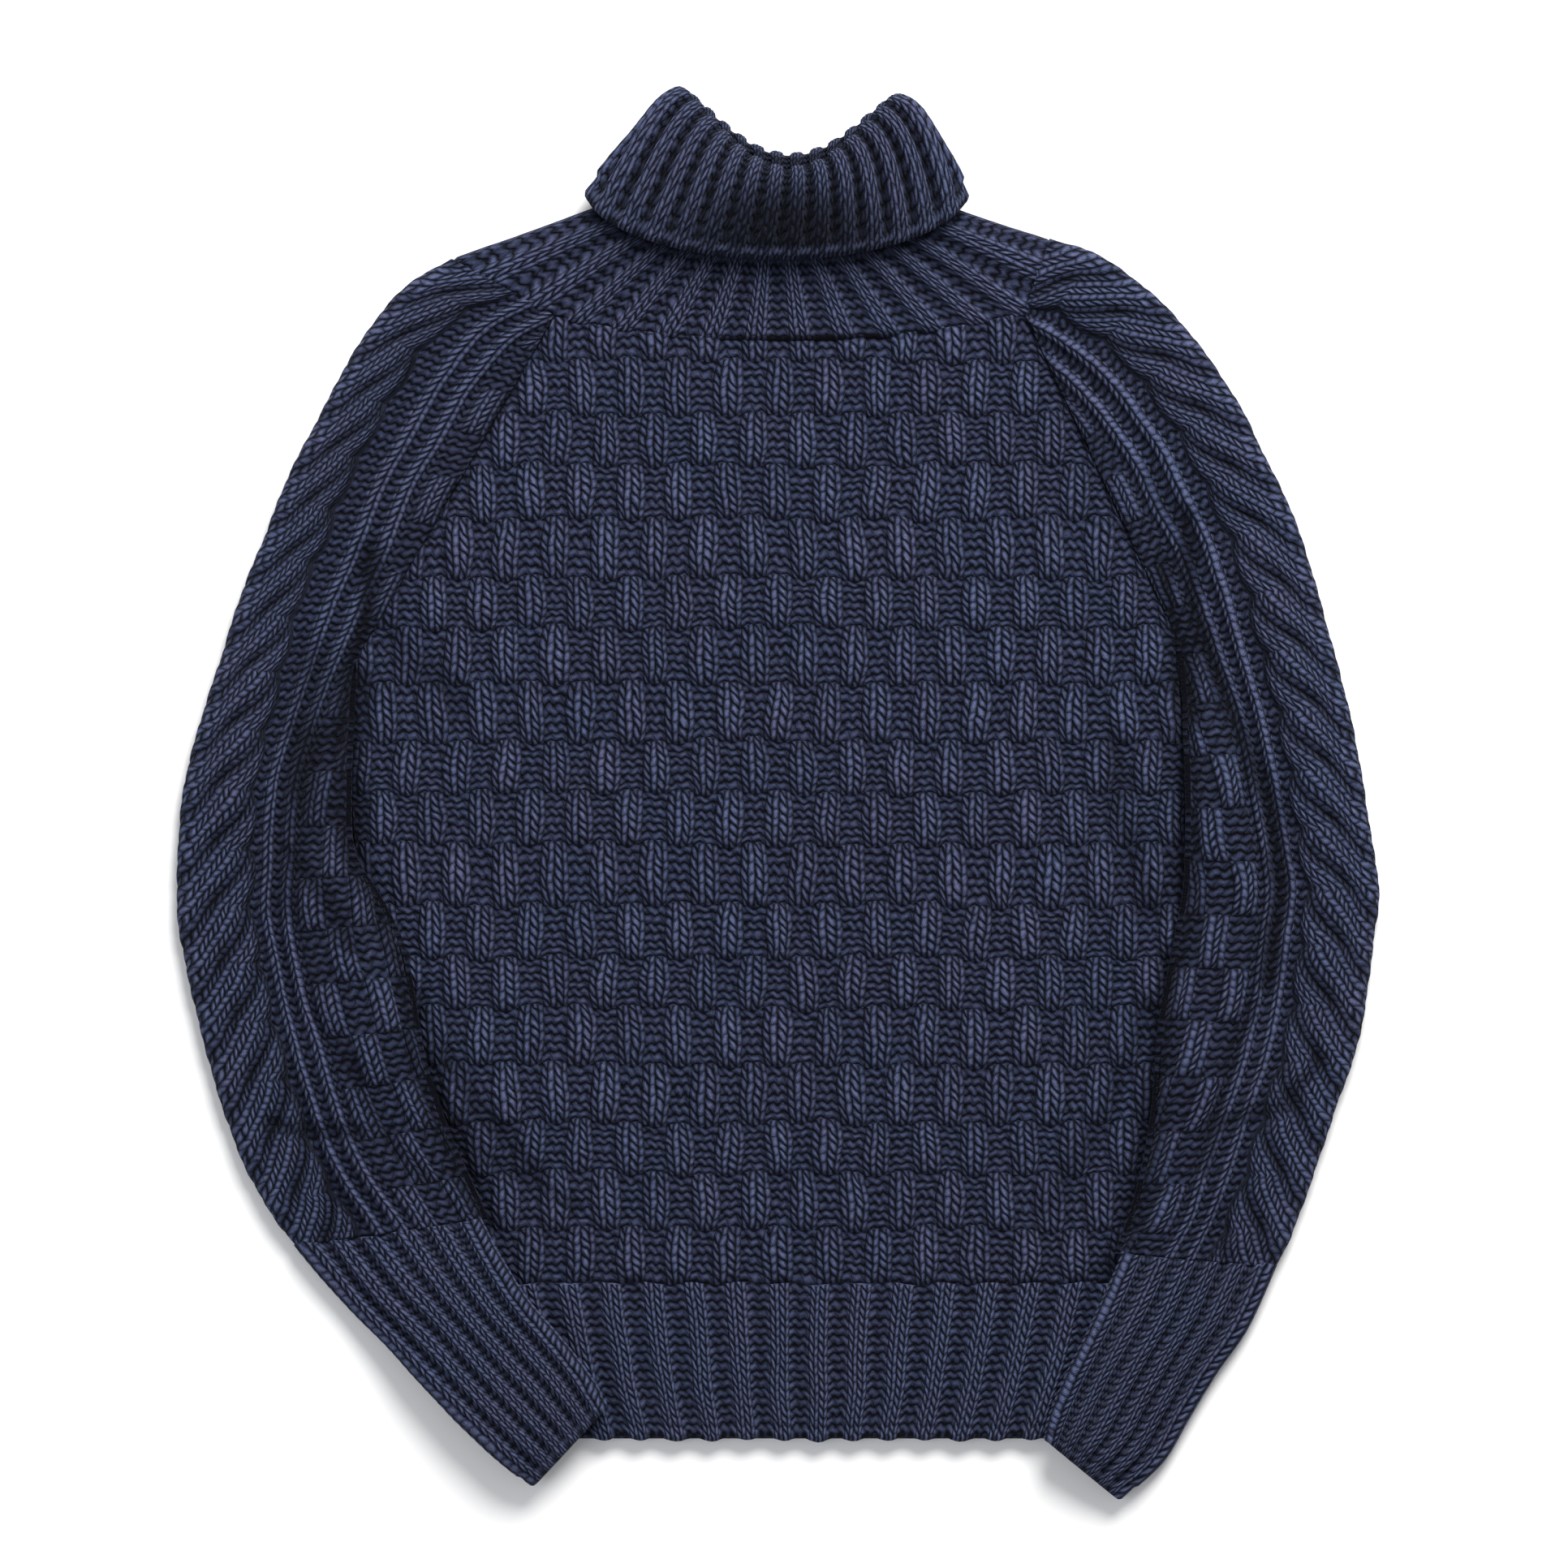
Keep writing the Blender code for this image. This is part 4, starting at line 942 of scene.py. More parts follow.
def neck_looks():
    columns = (FRONT_COLUMNS, BACK_COLUMNS)
    around = sum(columns)
    loops = table(COLLAR_LOOPS)
    knots = np.arange(len(loops), dtype=float)
    rows = hermite(knots, loops, np.linspace(0.0, knots[-1], COLLAR_ROWS))
    collar = np.stack([collar_loop(row, columns) for row in rows])
    ring = neck_ring()[0]
    base = collar[0]
    share = np.linspace(0.0, 1.0, NECKBAND_ROWS)[:, None, None]
    band = ring + (base - ring) * share
    flatter = np.array((0.0, 0.0, 1.0)) * (share * share - share) * NECKBAND_HOLLOW
    band = band + flatter * (band[..., 2:3] > FRONT_MIDDLE)

    per = 2 * PER_STITCH
    count = 11
    fine = finer(band, count * PER_ROW + 1, around * per, True)
    u, v = np.meshgrid(lattice(2 * around, PER_STITCH), lattice(count, PER_ROW))
    normal = normals_of(fine, True, 1.0)
    flat_below = np.clip(1.0 + normal[..., 2] * 2.0, 0.0, 1.0)
    relief = (rib_relief(u, v, 0) + stitch_height(u, v, rib_kinds(u, 0)))[:, :-1] * flat_below
    from_tip = np.minimum(u[:, :-1] / 2, np.abs(u[:, :-1] / 2 - FRONT_COLUMNS))
    from_tip = np.minimum(from_tip, around - u[:, :-1] / 2)
    relief = relief * smooth_step(from_tip / 1.6) * (1.0 - 0.45 * np.exp(-v[:, :-1] / 1.2))
    on_front = fine[..., 2] > WALL
    crease = smooth_step(1.0 - np.abs(fine[..., 0] - NECK_CREASE[0]) / NECK_CREASE[1])
    relief = relief + np.where(on_front, 1.3 * MM * crease, 0.0) * np.exp(-v[:, :-1] / 1.5)
    # Painted shade: purl wales darker, the top rows darker under the turned-down collar, and darker
    # along the front crease.
    shade = rib_shade(u, 0, 0.5)[:, :-1]
    shade = shade * (1.0 - 0.6 * smooth_step((v[:, :-1] - 7.0) / 3.0))
    shade = shade * (1.0 - 0.75 * np.where(on_front, crease, 0.0) * np.exp(-v[:, :-1] / 0.4))
    knit_wall("neckband_knit", ["neckband"], fine, normal, WALL / 2 + relief, u, v,
              rib_kinds(face_middles(u), 0), ring=True, skip=(8, 8), rolls=(True, False),
              shade=shade)

    count = 20
    fine = finer(collar, count * PER_ROW + 1, around * per, True, True)
    u, v = np.meshgrid(lattice(2 * around, PER_STITCH), lattice(count, PER_ROW))
    normal = -normals_of(fine, True, 1.0)
    flat_below = np.clip(1.0 + normal[..., 2] * 2.0, 0.0, 1.0)
    inside = v[:, :-1] < count * STAND_SHARE
    share = np.concatenate([np.arange(n * per) / (n * per) for n in columns])
    inner_fade = smooth_step(np.abs(np.sin(math.pi * share)) * 1.5 - 0.3)
    fade = np.where(inside, inner_fade[None, :], flat_below)
    ribs = rib_relief(u, v, 0, 1.35, -1.0) + stitch_height(u, v, rib_kinds(u, 0))
    from_rim = np.linspace(0.0, knots[-1], len(fine)) - RIM_LOOP
    at_rim = np.exp(-(from_rim / 0.7) ** 2)[:, None] * (share < 1)[None, :]
    in_front = (np.arange(around * per) < columns[0] * per)[None, :]
    relief = cast_off(ribs, v, count)[:, :-1] * fade * (1.0 - 0.6 * at_rim)
    relief = relief - 1.7 * MM * at_rim * in_front * np.sin(math.pi * share)
    # Painted shade: purl wales very dark, a dark patch on the collar's front where it slopes away
    # from the light, the inner stand dark all over, and the cast-off cord painted lighter.
    shade = rib_shade(u, 0, 0.12)[:, :-1]
    from_shaded_patch = np.hypot((fine[..., 0] - 4 * MM) / (62 * MM), (fine[..., 1] - 311 * MM) / (27 * MM))
    shade = shade * (0.12 + 0.88 * smooth_step((from_shaded_patch - 0.2) / 1.0))
    shade = np.where(inside, 0.35, shade)
    cord = smooth_step((v[:, :-1] - count + 1.4) / 0.8)
    shade = np.maximum(shade, 0.65 * cord)
    thinned = (1.0 - FOLD_THINNING * np.exp(-from_rim * from_rim))[:, None, None]
    knit_wall("collar_knit", ["collar"], fine, normal, WALL / 2 + relief, u, v,
              rib_kinds(face_middles(u), 0), ring=True, hand=-1.0, skip=(4, 8),
              thin=thinned, rolls=(False, True), shade=shade)


def cable_turn(steps, along, wide):
    """How far round the rope each point lies, and its offset from the rope's middle."""
    offset = (steps - CABLE_CENTRE * wide) / (CABLE_HALF_WIDTH * wide)
    offset = np.clip(offset, -1.0, 1.0)
    bend = CABLE_SLANT * offset + CABLE_TURN * np.arcsin(0.98 * offset)
    return along / CABLE_PITCH + bend, offset


# Lines across a sleeve beside the cable, in mm from the fold: two cells of the ditch,
# then rib, purl, rib, purl
SLEEVE_LINES = (39.0, 41.2, 43.4, 49.8, 55.2, 61.8, 65.5)
BESIDE_CELLS = len(SLEEVE_LINES) - 1
NARROW_RIB_CELLS = (2, 4)
CABLE_COLUMNS = 7
CABLE_SKEW = 0.35
CABLE_SCALLOP = 4.2 * MM
SPREAD_ON_UPPER_ARM = 0.26
UPPER_ARM_END = 190 * MM
UPPER_ARM_FADE = 90 * MM
SLEEVE_BASKET_WALES = 9

# Columns of a sleeve's lower layer, in mm from the fold
UNDERSIDE_STEPS = (5, 8, 12, 18, 26, 36, 48, 60, 72, 84, 96, 108)

# How wide the cable shows, by the distance along the sleeve from the neck
CABLE_WIDTHS = {
    "right": ((0, 0.95), (60, 0.72), (200, 0.76), (330, 1.0), (470, 1.0), (640, 0.88)),
    "left": ((0, 0.95), (60, 0.9), (200, 0.9), (330, 0.98), (470, 0.98), (640, 0.86)),
}


def sleeve_looks(side):
    rows = table(SLEEVE_SECTIONS[side])
    length = spline(rows, 2)[1]
    row_count = int(round(length / ROW))
    count = row_count * PER_ROW + 1
    sections = spline(rows, count)[0]
    underarm = UNDERARM[side]
    outward = -1.0 if side == "right" else 1.0
    above = sections[:, 3] > underarm[1]
    seam = line_x(sections[:, 3], FRONT_RAGLAN_TOP[side], underarm)
    rise = (sections[:, 3] - underarm[1]) / (FRONT_RAGLAN_TOP[side][1] - underarm[1])
    back_rise = (BACK_RAGLAN_TOP[side][1] - FRONT_RAGLAN_TOP[side][1]) * np.clip(rise, 0.0, 1.0)
    back_seam = line_x(sections[:, 3] + back_rise, BACK_RAGLAN_TOP[side], underarm)
    back_edge = np.stack((np.where(above, back_seam - seam, 0.0), back_rise), axis=1)
    sections[:, 2] = np.where(above, seam, sections[:, 2]) + outward * SIDEWAYS_SEAM / 2
    width = np.linalg.norm(sections[:, 0:2] - sections[:, 2:4], axis=1)
    run = (width - WALL / 2 - FOLD_RELIEF + (0.5 * math.pi - 1.0) * FOLD_RADIUS)[:, None]

    basket = SLEEVE_BASKET_WALES
    lines = np.array(SLEEVE_LINES) * MM
    lines = np.concatenate((lines, lines[-1] + STITCH * np.arange(1, basket + 1)))
    beside = lattice(len(lines) - 1, PER_STITCH)
    top_steps = np.interp(leg_places(beside), np.arange(len(lines)), lines)
    over_cable = np.linspace(-3 * MM, lines[0], CABLE_COLUMNS * PER_STITCH + 1)
    along = np.linspace(0.0, length, count)[:, None]
    widths = np.array(CABLE_WIDTHS[side])
    wide = np.interp(along, widths[:, 0] * MM, widths[:, 1])
    below = -np.array(UNDERSIDE_STEPS) * MM
    steps = np.concatenate((top_steps[:0:-1], over_cable[::-1], below))
    places = np.concatenate((beside[:0:-1], np.zeros(len(over_cable)), np.zeros(len(below))))
    at_cable = np.concatenate((np.zeros(len(beside) - 1), np.ones(len(over_cable)),
                               np.zeros(len(below)))) > 0.5
    steps = np.broadcast_to(steps, (count, len(steps)))
    border_turn = cable_turn(0.98 * (CABLE_CENTRE + CABLE_HALF_WIDTH), along, 1.0)[0]
    scallop = CABLE_SCALLOP * (np.abs(np.cos(math.pi * border_turn)) ** 0.7 - 0.75)
    border = lines[0] * wide + scallop
    upper_arm = 1.0 - smooth_step((along - UPPER_ARM_END) / UPPER_ARM_FADE)
    spread = SPREAD_ON_UPPER_ARM * upper_arm
    beyond = np.maximum(steps - lines[2], 0.0)
    spread_out = steps + spread * np.minimum(beyond, lines[-basket - 1] - lines[2])
    ditch = (steps >= lines[0]) & (steps < lines[2])
    share = (steps - lines[0]) / (lines[2] - lines[0])
    steps = np.where(ditch, border + (lines[2] - border) * share,
                     np.where(steps < lines[0], steps * np.where(steps > 0, border / lines[0], 1),
                              spread_out))
    gutter = np.where(ditch, 2.0 - (lines[2] - steps) / (0.8 * STITCH), 0.0)
    wobble = noise(along + 0 * steps, steps, 26 * MM, 11 if side == "right" else 12)
    free = smooth_step((steps - 8 * MM) / (20 * MM))
    steps = np.clip(steps + wobble * 1.0 * MM * free, -run, run)
    middle = sleeve_points(sections, steps, back_edge, side)
    hand = -outward
    normal = normals_of(middle, False, hand, section_facing(sections[0]),
                        section_facing(sections[-1]))

    v = np.broadcast_to(np.linspace(0.0, row_count, count)[:, None], steps.shape)
    u = np.broadcast_to(places, steps.shape)
    turn, offset = cable_turn(steps, along, border / lines[0])
    lobe = turn - np.rint(turn)
    form = np.sqrt(np.clip(1.0 - offset ** 4, 0.0, 1.0))
    lobe_form = np.sqrt(np.clip(1.0 - (2 * lobe) ** 2, 0, 1))
    crossing = np.exp(-((offset + 0.05) / 0.3) ** 2)
    lobe_form = lobe_form ** (0.8 + 0.6 * crossing)
    crisp = smooth_step((offset + 0.22) / 0.5)
    lean = 1.0 - CABLE_SKEW * 2.0 * lobe * offset * (0.3 + 0.7 * crisp)
    lobe_rise = crisp * (0.15 + 1.05 * lobe_form) + (1.0 - crisp) * (0.85 + 0.15 * lobe_form)
    rope = CABLE_RELIEF * form * lobe_rise * lean
    rope = rope + 0.35 * MM * np.cos(6.0 * math.pi * lobe) * form
    cell = np.floor(u)
    start = float(BESIDE_CELLS)
    basket_cell = np.floor((u - start) / 2.0 + 1e-9)
    band = np.floor(v / 6 + 1e-9)
    knit_basket = (basket_cell + band) % 2 == 0
    phase = v / 6 - band
    on_rib = np.isin(cell, NARROW_RIB_CELLS)
    in_basket = u >= start - 1e-9
    knit = np.where(in_basket, knit_basket, on_rib)
    inside = np.clip((u - start) / 2.0 - basket_cell, 0.0, 1.0)
    pillow = np.sqrt(np.clip(np.sin(math.pi * inside) * np.sin(math.pi * phase), 0, 1))
    blocks = np.where(knit_basket, BLOCK_RELIEF * pillow, -0.2 * MM)
    rib = np.clip(np.sin(math.pi * (u - cell)), 0, 1) * RIB_RELIEF * 1.1
    beside_cable = np.where(on_rib, rib, -0.9 * MM)
    plain = np.where(in_basket, blocks, beside_cable)
    relief = plain + stitch_height(outward * -u, v, knit)
    relief = np.where(at_cable, rope, relief)
    fade_to_cuff = smooth_step(np.minimum(length - along, along) / (16 * MM))
    relief = relief * np.where(at_cable, 0.4 + 0.6 * fade_to_cuff, 0.7 + 0.3 * fade_to_cuff)
    # Painted shade: purl wales and the edges of basket blocks darker.
    shade = np.where(knit, 1.0, 0.5) * np.where(in_basket, 0.7 + 0.3 * pillow, 1.0)
    # Painted shade on the rope: dark grooves between lobes on its inner side, a dark dip at each
    # groove's end and a dark band along its border.
    at_border = smooth_step((1.0 - offset) / 0.14)
    groove = 0.06 + 0.94 * lobe_form ** 0.55
    tip = np.exp(-((offset - 0.02) / 0.16) ** 2 - ((np.abs(lobe) - 0.5) / 0.15) ** 2)
    rope_shade = crisp * groove + (1.0 - crisp) * (0.7 + 0.3 * groove)
    rope_shade = rope_shade * (1.0 - 0.6 * tip) * (0.3 + 0.7 * at_border)
    shade = np.where(at_cable[None, :], rope_shade, shade)
    # Painted shade on the lower layer, in the creases on top and along the inner seam edge.
    shade = np.where(steps < 0, 0.8, shade)
    drop, light = folded(middle[..., 0], middle[..., 1], side)
    on_top = smooth_step((steps - 10 * MM) / (12 * MM))
    shade = shade * np.where(steps > 0, light, 1.0)
    near = smooth_step((run - steps) / (7 * MM))
    shade = shade * (0.72 + 0.28 * near)
    relief = np.where(steps < -3 * MM, 0.0, relief * (0.1 + 0.9 * near))
    relief = relief - 1.0 * MM * (1.0 - smooth_step((run - np.abs(steps)) / (3 * MM)))
    relief = np.maximum(relief - drop * on_top, np.minimum(relief, -1.7 * MM))

    across = sections[:, 2:4] - sections[:, 0:2]
    away = np.concatenate((across / width[:, None], np.zeros((count, 1))), axis=1)
    away = away * np.where(above, 0.8 * MM, 3.0 * MM)[:, None]
    middle_u = face_middles(u)
    middle_v = face_middles(v)
    basket_kind = (np.floor((middle_u - start) / 2) + np.floor(middle_v / 6)) % 2 == 0
    beside_kind = np.isin(np.floor(middle_u), NARROW_RIB_CELLS)
    kinds = np.where(middle_u > start, basket_kind, beside_kind).astype(float)
    cable_face = at_cable[1:] & at_cable[:-1]
    kinds = np.where(cable_face[None, :], CABLE, kinds)
    kinds = np.where(face_middles(steps) < -3 * MM, KNIT, kinds)
    rope_u = 3.0 * (turn + 0.5)
    rope_v = (offset * CABLE_HALF_WIDTH - along) * 0.75 / ROW
    below_face = steps < -2.99 * MM
    u_out = np.where(at_cable[None, :], rope_u, -outward * np.where(ditch, gutter, u))
    u_out = np.where(below_face, steps / STITCH, u_out)
    v_out = np.where(at_cable[None, :], rope_v, v)
    v_out = np.where(below_face, v, v_out)
    return knit_wall("sleeve_" + side + "_knit", ["sleeve_" + side], middle, normal,
                     WALL / 2 + relief, u_out, v_out, kinds, hand=hand, skip=(12, 6),
                     rolls=(False, False), shade=shade, sides=(away, away))


def cuff_looks(side):
    rows = table(CUFF_SECTIONS[side])
    length = spline(rows, 2)[1]
    row_count = int(round(length / ROW))
    count = row_count * PER_ROW + 1
    sections = spline(rows, count)[0]
    outer = sections[:, 0:2]
    inner = sections[:, 2:4]
    width = np.linalg.norm(outer - inner, axis=1)[:, None]
    across = (outer - inner) / width
    inset = WALL / 2 + RIB_RELIEF + FOLD_RADIUS
    ribs = 2 * CUFF_RIBS
    top_u = lattice(2 * ribs, PER_STITCH)
    share = np.clip(gathered(leg_places(top_u)) / (2 * ribs), 0, 1)
    top = inset + (width - 2 * inset) * share
    turns = np.linspace(0.0, math.pi, 9)[1:-1]
    under = np.linspace(1.0, 0.0, 7)
    reach = np.concatenate((top, width - inset + FOLD_RADIUS * np.sin(turns),
                            inset + (width - 2 * inset) * under,
                            np.broadcast_to(inset - FOLD_RADIUS * np.sin(turns),
                                            (count, len(turns)))), axis=1)
    above = np.concatenate((np.ones(len(top_u)), 0.5 + 0.5 * np.cos(turns), np.zeros(len(under)),
                            0.5 - 0.5 * np.cos(turns)))
    plan = inner[:, None, :] + across[:, None, :] * reach[..., None]
    height = WALL / 2 + drape_height(plan[..., 0], plan[..., 1]) + 2 * FOLD_RADIUS * above
    middle = np.concatenate((plan, height[..., None]), axis=2)
    beside_top = np.abs(np.arange(middle.shape[1]) - len(top_u) - 3) < 5
    step = middle[1] - middle[0]
    middle[0] -= step * np.where(beside_top, 1.4, 0.2)[:, None]
    hand = 1.0 if side == "right" else -1.0
    normal = normals_of(middle, True, hand)
    round_u = np.linspace(0, 2, len(turns) + 2)[1:-1]
    around = np.concatenate((top_u, 2 * ribs + round_u, 2 * ribs + 2 + (1 - under) * 2 * ribs,
                             4 * ribs + 2 + round_u, [4 * ribs + 4]))
    u, v = np.meshgrid(around, np.linspace(0.0, row_count, count))
    relief = (rib_relief(u, v, 0) + stitch_height(u, v, rib_kinds(u, 0)))[:, :-1]
    top_share = np.concatenate((np.ones(len(top_u)), 0.5 + 0.5 * np.cos(turns),
                                np.zeros(len(under)), 0.5 - 0.5 * np.cos(turns)))
    relief = relief * (1.0 - 0.4 * np.exp(-v[:, :-1] / 1.2))
    relief = cast_off(relief, v[:, :-1], row_count) * top_share
    relief = relief + noise(middle[..., 0], middle[..., 1], 18 * MM, 43) * 0.4 * MM * top_share
    relief = relief + 1.2 * MM * np.exp(-v[:, :-1] / 1.5) * top_share
    sense = 1.0 if side == "right" else -1.0
    return knit_wall("cuff_" + side + "_knit", ["cuff_" + side], middle, normal,
                     WALL / 2 + relief, -sense * u, v, rib_kinds(face_middles(u), 0), ring=True,
                     hand=hand, skip=(6, 8), rolls=(False, True),
                     shade=rib_shade(u, 0, 0.6)[:, :-1])


def back_looks():
    """The back and its hem, flat underneath."""
    for name, node, outline, top in (
            ("back_knit", "back_panel",
             body_outline(BACK_RAGLAN_TOP, BACK_NECK_DROP, BACK_NECK + 1), WALL),
            ("back_hem_knit", "back_hem_rib", hem_outline(), WALL)):
        low_y = min(y for x, y in outline)
        high_y = max(y for x, y in outline)
        count = int(math.ceil((high_y - low_y) / ROW))
        u, v = np.meshgrid(np.arange(-36, 37, 1.0), np.arange(0, count + 1, 1.0))
        x = (0.5 * u - 0.5) * CELL_WIDTH
        y = low_y + (high_y - low_y) * v / count
        if node == "back_panel":
            right = np.where(y > UNDERARM["right"][1],
                             line_x(y, BACK_RAGLAN_TOP["right"], UNDERARM["right"]),
                             side_x(y, "right"))
            left = np.where(y > UNDERARM["left"][1],
                            line_x(y, BACK_RAGLAN_TOP["left"], UNDERARM["left"]),
                            side_x(y, "left"))
            arc = neckline(61, BACK_RAGLAN_TOP, BACK_NECK_DROP)
            x = np.clip(x, right, left)
            y = np.minimum(y, np.interp(x, arc[:, 0], arc[:, 1]))
            kinds = (np.floor(face_middles(u) / 2) + np.floor(face_middles(v) / 6)) % 2 == 0
        else:
            x = np.clip(x, side_x(y, "right"), side_x(y, "left"))
            kinds = np.floor(face_middles(u) / 2) % 2 == 0
        middle = np.stack((x, y, np.full(x.shape, WALL / 2)), axis=2)
        normal = np.broadcast_to(np.array((0.0, 0.0, -1.0)), middle.shape)
        knit_wall(name, [node], middle, normal, np.full(x.shape, WALL / 2), -u, v,
                  kinds.astype(float), hand=-1.0, skip=(6, 4), rolls=(False, False))


def joined(tree, node, inputs):
    for socket, value in zip(node.inputs, inputs):
        if isinstance(value, bpy.types.NodeSocket):
            tree.links.new(value, socket)
        else:
            socket.default_value = value
    return node.outputs[0]


def make_yarn():
    """Navy wool: legs, purl bumps and rope strands by stitch, with twisted plies and fuzz, its
    colour painted darker in the gaps between stitches.
    """
    material = bpy.data.materials.new("navy_wool")
    material.use_nodes = True
    tree = material.node_tree
    shader = tree.nodes["Principled BSDF"]

    def op(name, *inputs):
        node = tree.nodes.new("ShaderNodeMath")
        node.operation = name
        return joined(tree, node, inputs)

    def mixed(share, first, second):
        return op("ADD", op("MULTIPLY", share, op("SUBTRACT", second, first)), first)

    place = tree.nodes.new("ShaderNodeUVMap")
    place.uv_map = "stitch"
    split = tree.nodes.new("ShaderNodeSeparateXYZ")
    tree.links.new(place.outputs[0], split.inputs[0])
    object_place = tree.nodes.new("ShaderNodeTexCoord").outputs["Object"]

    def clouds(scale, detail=2.0, source=object_place):
        node = tree.nodes.new("ShaderNodeTexNoise")
        node.inputs["Scale"].default_value = scale
        node.inputs["Detail"].default_value = detail
        tree.links.new(source, node.inputs["Vector"])
        return node.outputs[0]

    jitter = clouds(160.0)
    u = op("ADD", split.outputs[0], op("MULTIPLY", op("SUBTRACT", jitter, 0.5), 0.22))
    sway = clouds(130.0, 2.0)
    v = op("ADD", split.outputs[1], op("MULTIPLY", op("SUBTRACT", sway, 0.5), 0.8))
    kind_node = tree.nodes.new("ShaderNodeAttribute")
    kind_node.attribute_name = "kind"
    kind = kind_node.outputs["Fac"]
    purl = op("LESS_THAN", kind, 0.5)
    rope = op("GREATER_THAN", kind, 1.5)

    leg = op("FRACT", op("MULTIPLY", u, 2.0))
    right_leg = op("GREATER_THAN", op("FRACT", u), 0.5)
    across = op("SINE", op("MULTIPLY", leg, math.pi))
    across = op("POWER", across, 0.55)
    slant = mixed(right_leg, 0.9, -0.25)
    grain_place = op("ADD", v, op("MULTIPLY", leg, slant))
    grain = op("ABSOLUTE", op("SINE", op("MULTIPLY", grain_place, math.pi)))
    grain = op("POWER", grain, 0.7)
    depth = mixed(right_leg, 1.0, 0.5)
    knit_height = op("MULTIPLY", across,
                     op("ADD", op("MULTIPLY", depth, grain), op("SUBTRACT", 1.0, depth)))

    swing = op("COSINE", op("MULTIPLY", u, 2.0 * math.pi))
    bump_place = op("ADD", v, op("MULTIPLY", swing, 0.14))
    ridge = op("ABSOLUTE", op("SINE", op("MULTIPLY", bump_place, math.pi)))
    ridge = op("POWER", ridge, 0.6)
    lean = op("ADD", u, op("MULTIPLY", v, 0.5))
    loops = op("POWER", op("ABSOLUTE", op("SINE", op("MULTIPLY", lean, math.pi))), 0.5)
    purl_height = op("MULTIPLY", ridge, op("ADD", 0.45, op("MULTIPLY", loops, 0.55)))
    height = mixed(purl, knit_height, purl_height)

    strand = op("FRACT", op("DIVIDE", u, 3.0))
    groove = op("POWER", op("SINE", op("MULTIPLY", strand, math.pi)), 0.5)
    height = op("MULTIPLY", height, mixed(op("MULTIPLY", rope, 0.45), 1.0, groove))

    twist = op("ADD", op("MULTIPLY", u, 7.0), op("MULTIPLY", v, 2.6))
    ply = op("SINE", op("MULTIPLY", twist, 2.0 * math.pi))
    fuzz = clouds(1500.0, 3.0)
    tufts = clouds(420.0, 3.0)
    surface = op("ADD", height, op("MULTIPLY", ply, 0.05))
    surface = op("ADD", surface, op("MULTIPLY", fuzz, 0.22))
    surface = op("ADD", surface, op("MULTIPLY", tufts, 0.3))
    bump = tree.nodes.new("ShaderNodeBump")
    bump.inputs["Strength"].default_value = 1.0
    bump.inputs["Distance"].default_value = 2.3 * MM
    tree.links.new(surface, bump.inputs["Height"])
    tree.links.new(bump.outputs[0], shader.inputs["Normal"])

    # The colour ramp paints shade: the colour darkens where the stitch height is low, in the gaps
    # between legs and loops, and where the shade attribute is low; the tufts noise adds random tone.
    shade = tree.nodes.new("ShaderNodeValToRGB")
    ramp = shade.color_ramp
    ramp.elements[0].position = 0.27
    ramp.elements[0].color = (0.0008, 0.001, 0.0026, 1.0)
    ramp.elements[1].position = 0.95
    ramp.elements[1].color = (0.078, 0.092, 0.172, 1.0)
    middle = ramp.elements.new(0.6)
    middle.color = (0.0235, 0.029, 0.0605, 1.0)
    tone_and_gap_shade = op("ADD", op("MULTIPLY", height, 0.85), op("MULTIPLY", op("SUBTRACT", tufts, 0.5), 0.5))
    dark_node = tree.nodes.new("ShaderNodeAttribute")
    dark_node.attribute_name = "shade"
    dark = dark_node.outputs["Fac"]
    tree.links.new(op("MULTIPLY", op("ADD", tone_and_gap_shade, 0.1), mixed(dark, 0.35, 1.0)), shade.inputs[0])
    tint = tree.nodes.new("ShaderNodeMix")
    tint.data_type = "RGBA"
    tint.blend_type = "MULTIPLY"
    tint.inputs[0].default_value = 1.0
    patches = tree.nodes.new("ShaderNodeValToRGB")
    patches.color_ramp.elements[0].position = 0.35
    patches.color_ramp.elements[0].color = (0.96, 1.015, 1.02, 1.0)
    patches.color_ramp.elements[1].position = 0.65
    patches.color_ramp.elements[1].color = (1.05, 0.985, 0.985, 1.0)
    tree.links.new(clouds(24.0), patches.inputs[0])
    tree.links.new(shade.outputs[0], tint.inputs[6])
    tree.links.new(patches.outputs[0], tint.inputs[7])
    tree.links.new(tint.outputs[2], shader.inputs["Base Color"])
    shader.inputs["Roughness"].default_value = 0.95
    shader.inputs["Specular IOR Level"].default_value = 0.08
    shader.inputs["Sheen Weight"].default_value = 0.04
    shader.inputs["Sheen Roughness"].default_value = 0.5
    shader.inputs["Sheen Tint"].default_value = (0.55, 0.62, 0.9, 1.0)
    return material


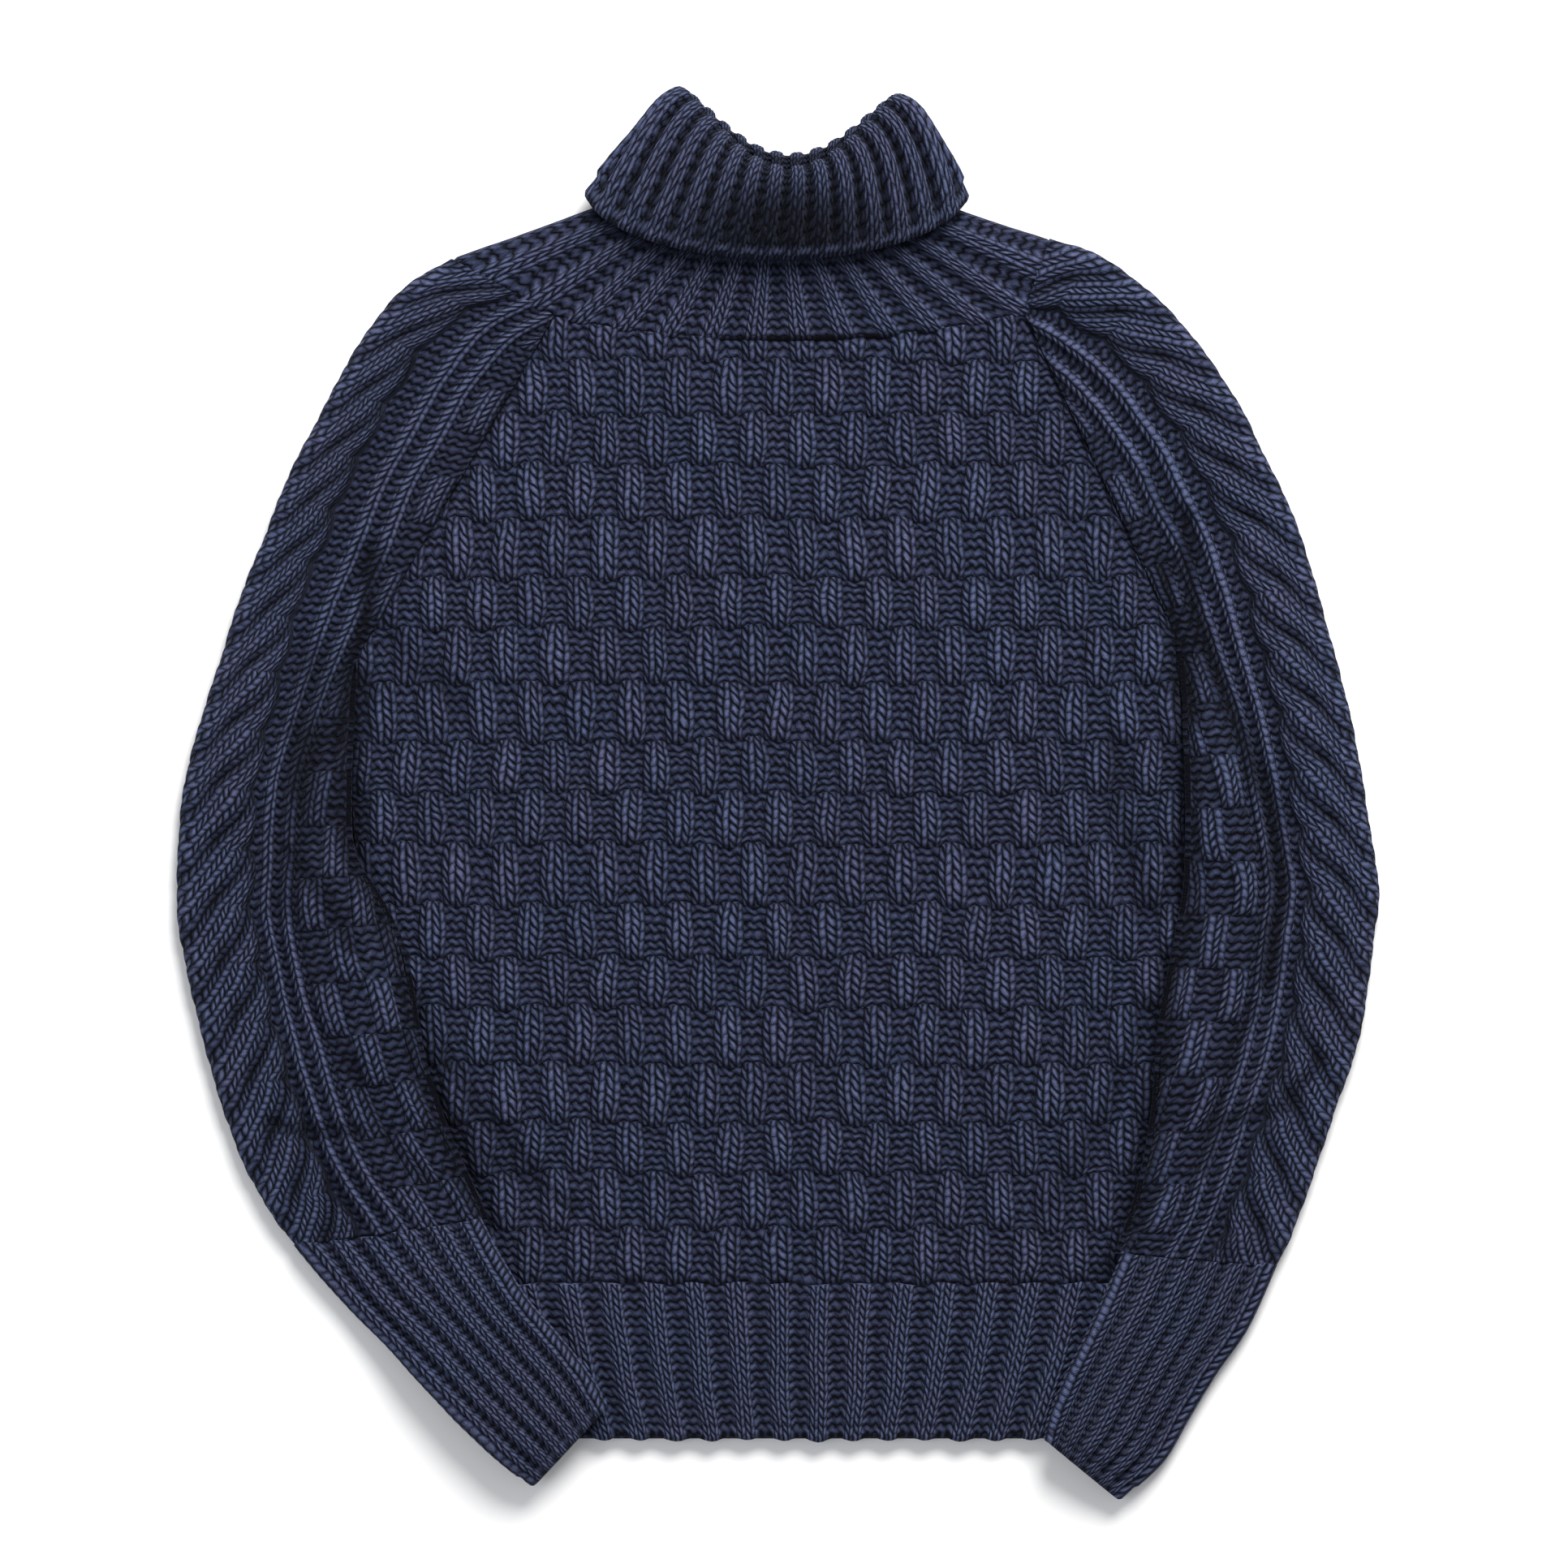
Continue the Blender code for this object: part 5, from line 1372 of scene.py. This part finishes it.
def make_stage():
    mesh = bpy.data.meshes.new("floor")
    edge = 3.0
    mesh.from_pydata([(-edge, -edge, 0), (edge, -edge, 0), (edge, edge, 0), (-edge, edge, 0)],
                     [], [(0, 1, 2, 3)])
    material = bpy.data.materials.new("floor_paper")
    material.use_nodes = True
    shader = material.node_tree.nodes["Principled BSDF"]
    shader.inputs["Base Color"].default_value = (0.86, 0.86, 0.865, 1.0)
    shader.inputs["Roughness"].default_value = 0.9
    mesh.materials.append(material)
    floor = bpy.data.objects.new("floor", mesh)
    bpy.context.scene.collection.objects.link(floor)
    floor.location.z = -0.0005

    def area_light(name, place, size, power, colour):
        data = bpy.data.lights.new(name, "AREA")
        data.shape = "DISK"
        data.size = size
        data.energy = power
        data.color = colour
        lamp = bpy.data.objects.new(name, data)
        bpy.context.scene.collection.objects.link(lamp)
        lamp.location = place
        aim = np.array((0.0, 0.0, 0.0)) - np.array(place)
        lamp.rotation_mode = "QUATERNION"
        lamp.rotation_quaternion = Vector(aim).to_track_quat("-Z", "Y")

    area_light("key", (0.7, 2.1, 2.1), 1.7, 155.0, (1.0, 0.985, 0.96))
    area_light("fill", (-1.6, -0.6, 2.6), 2.0, 22.0, (0.93, 0.96, 1.0))
    world = bpy.data.worlds.new("studio")
    world.use_nodes = True
    background = world.node_tree.nodes["Background"]
    background.inputs[0].default_value = (0.97, 0.98, 1.0, 1.0)
    background.inputs[1].default_value = 0.45
    bpy.context.scene.world = world
    bpy.context.scene.view_settings.view_transform = "Standard"

    data = bpy.data.cameras.new("camera")
    data.lens = 300.0
    data.sensor_width = 36.0
    data.clip_end = 50.0
    camera = bpy.data.objects.new("camera", data)
    bpy.context.scene.collection.objects.link(camera)
    span = 0.8694
    camera.location = (3.15 * MM, 3.15 * MM, span * data.lens / data.sensor_width + 0.01)
    bpy.context.scene.camera = camera


for old in list(bpy.data.objects):
    bpy.data.objects.remove(old, do_unlink=True)
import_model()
YARN = make_yarn()
front_looks()
front_hem_looks()
neck_looks()
for wearer_side in ("right", "left"):
    sleeve_looks(wearer_side)
    cuff_looks(wearer_side)
back_looks()
make_stage()
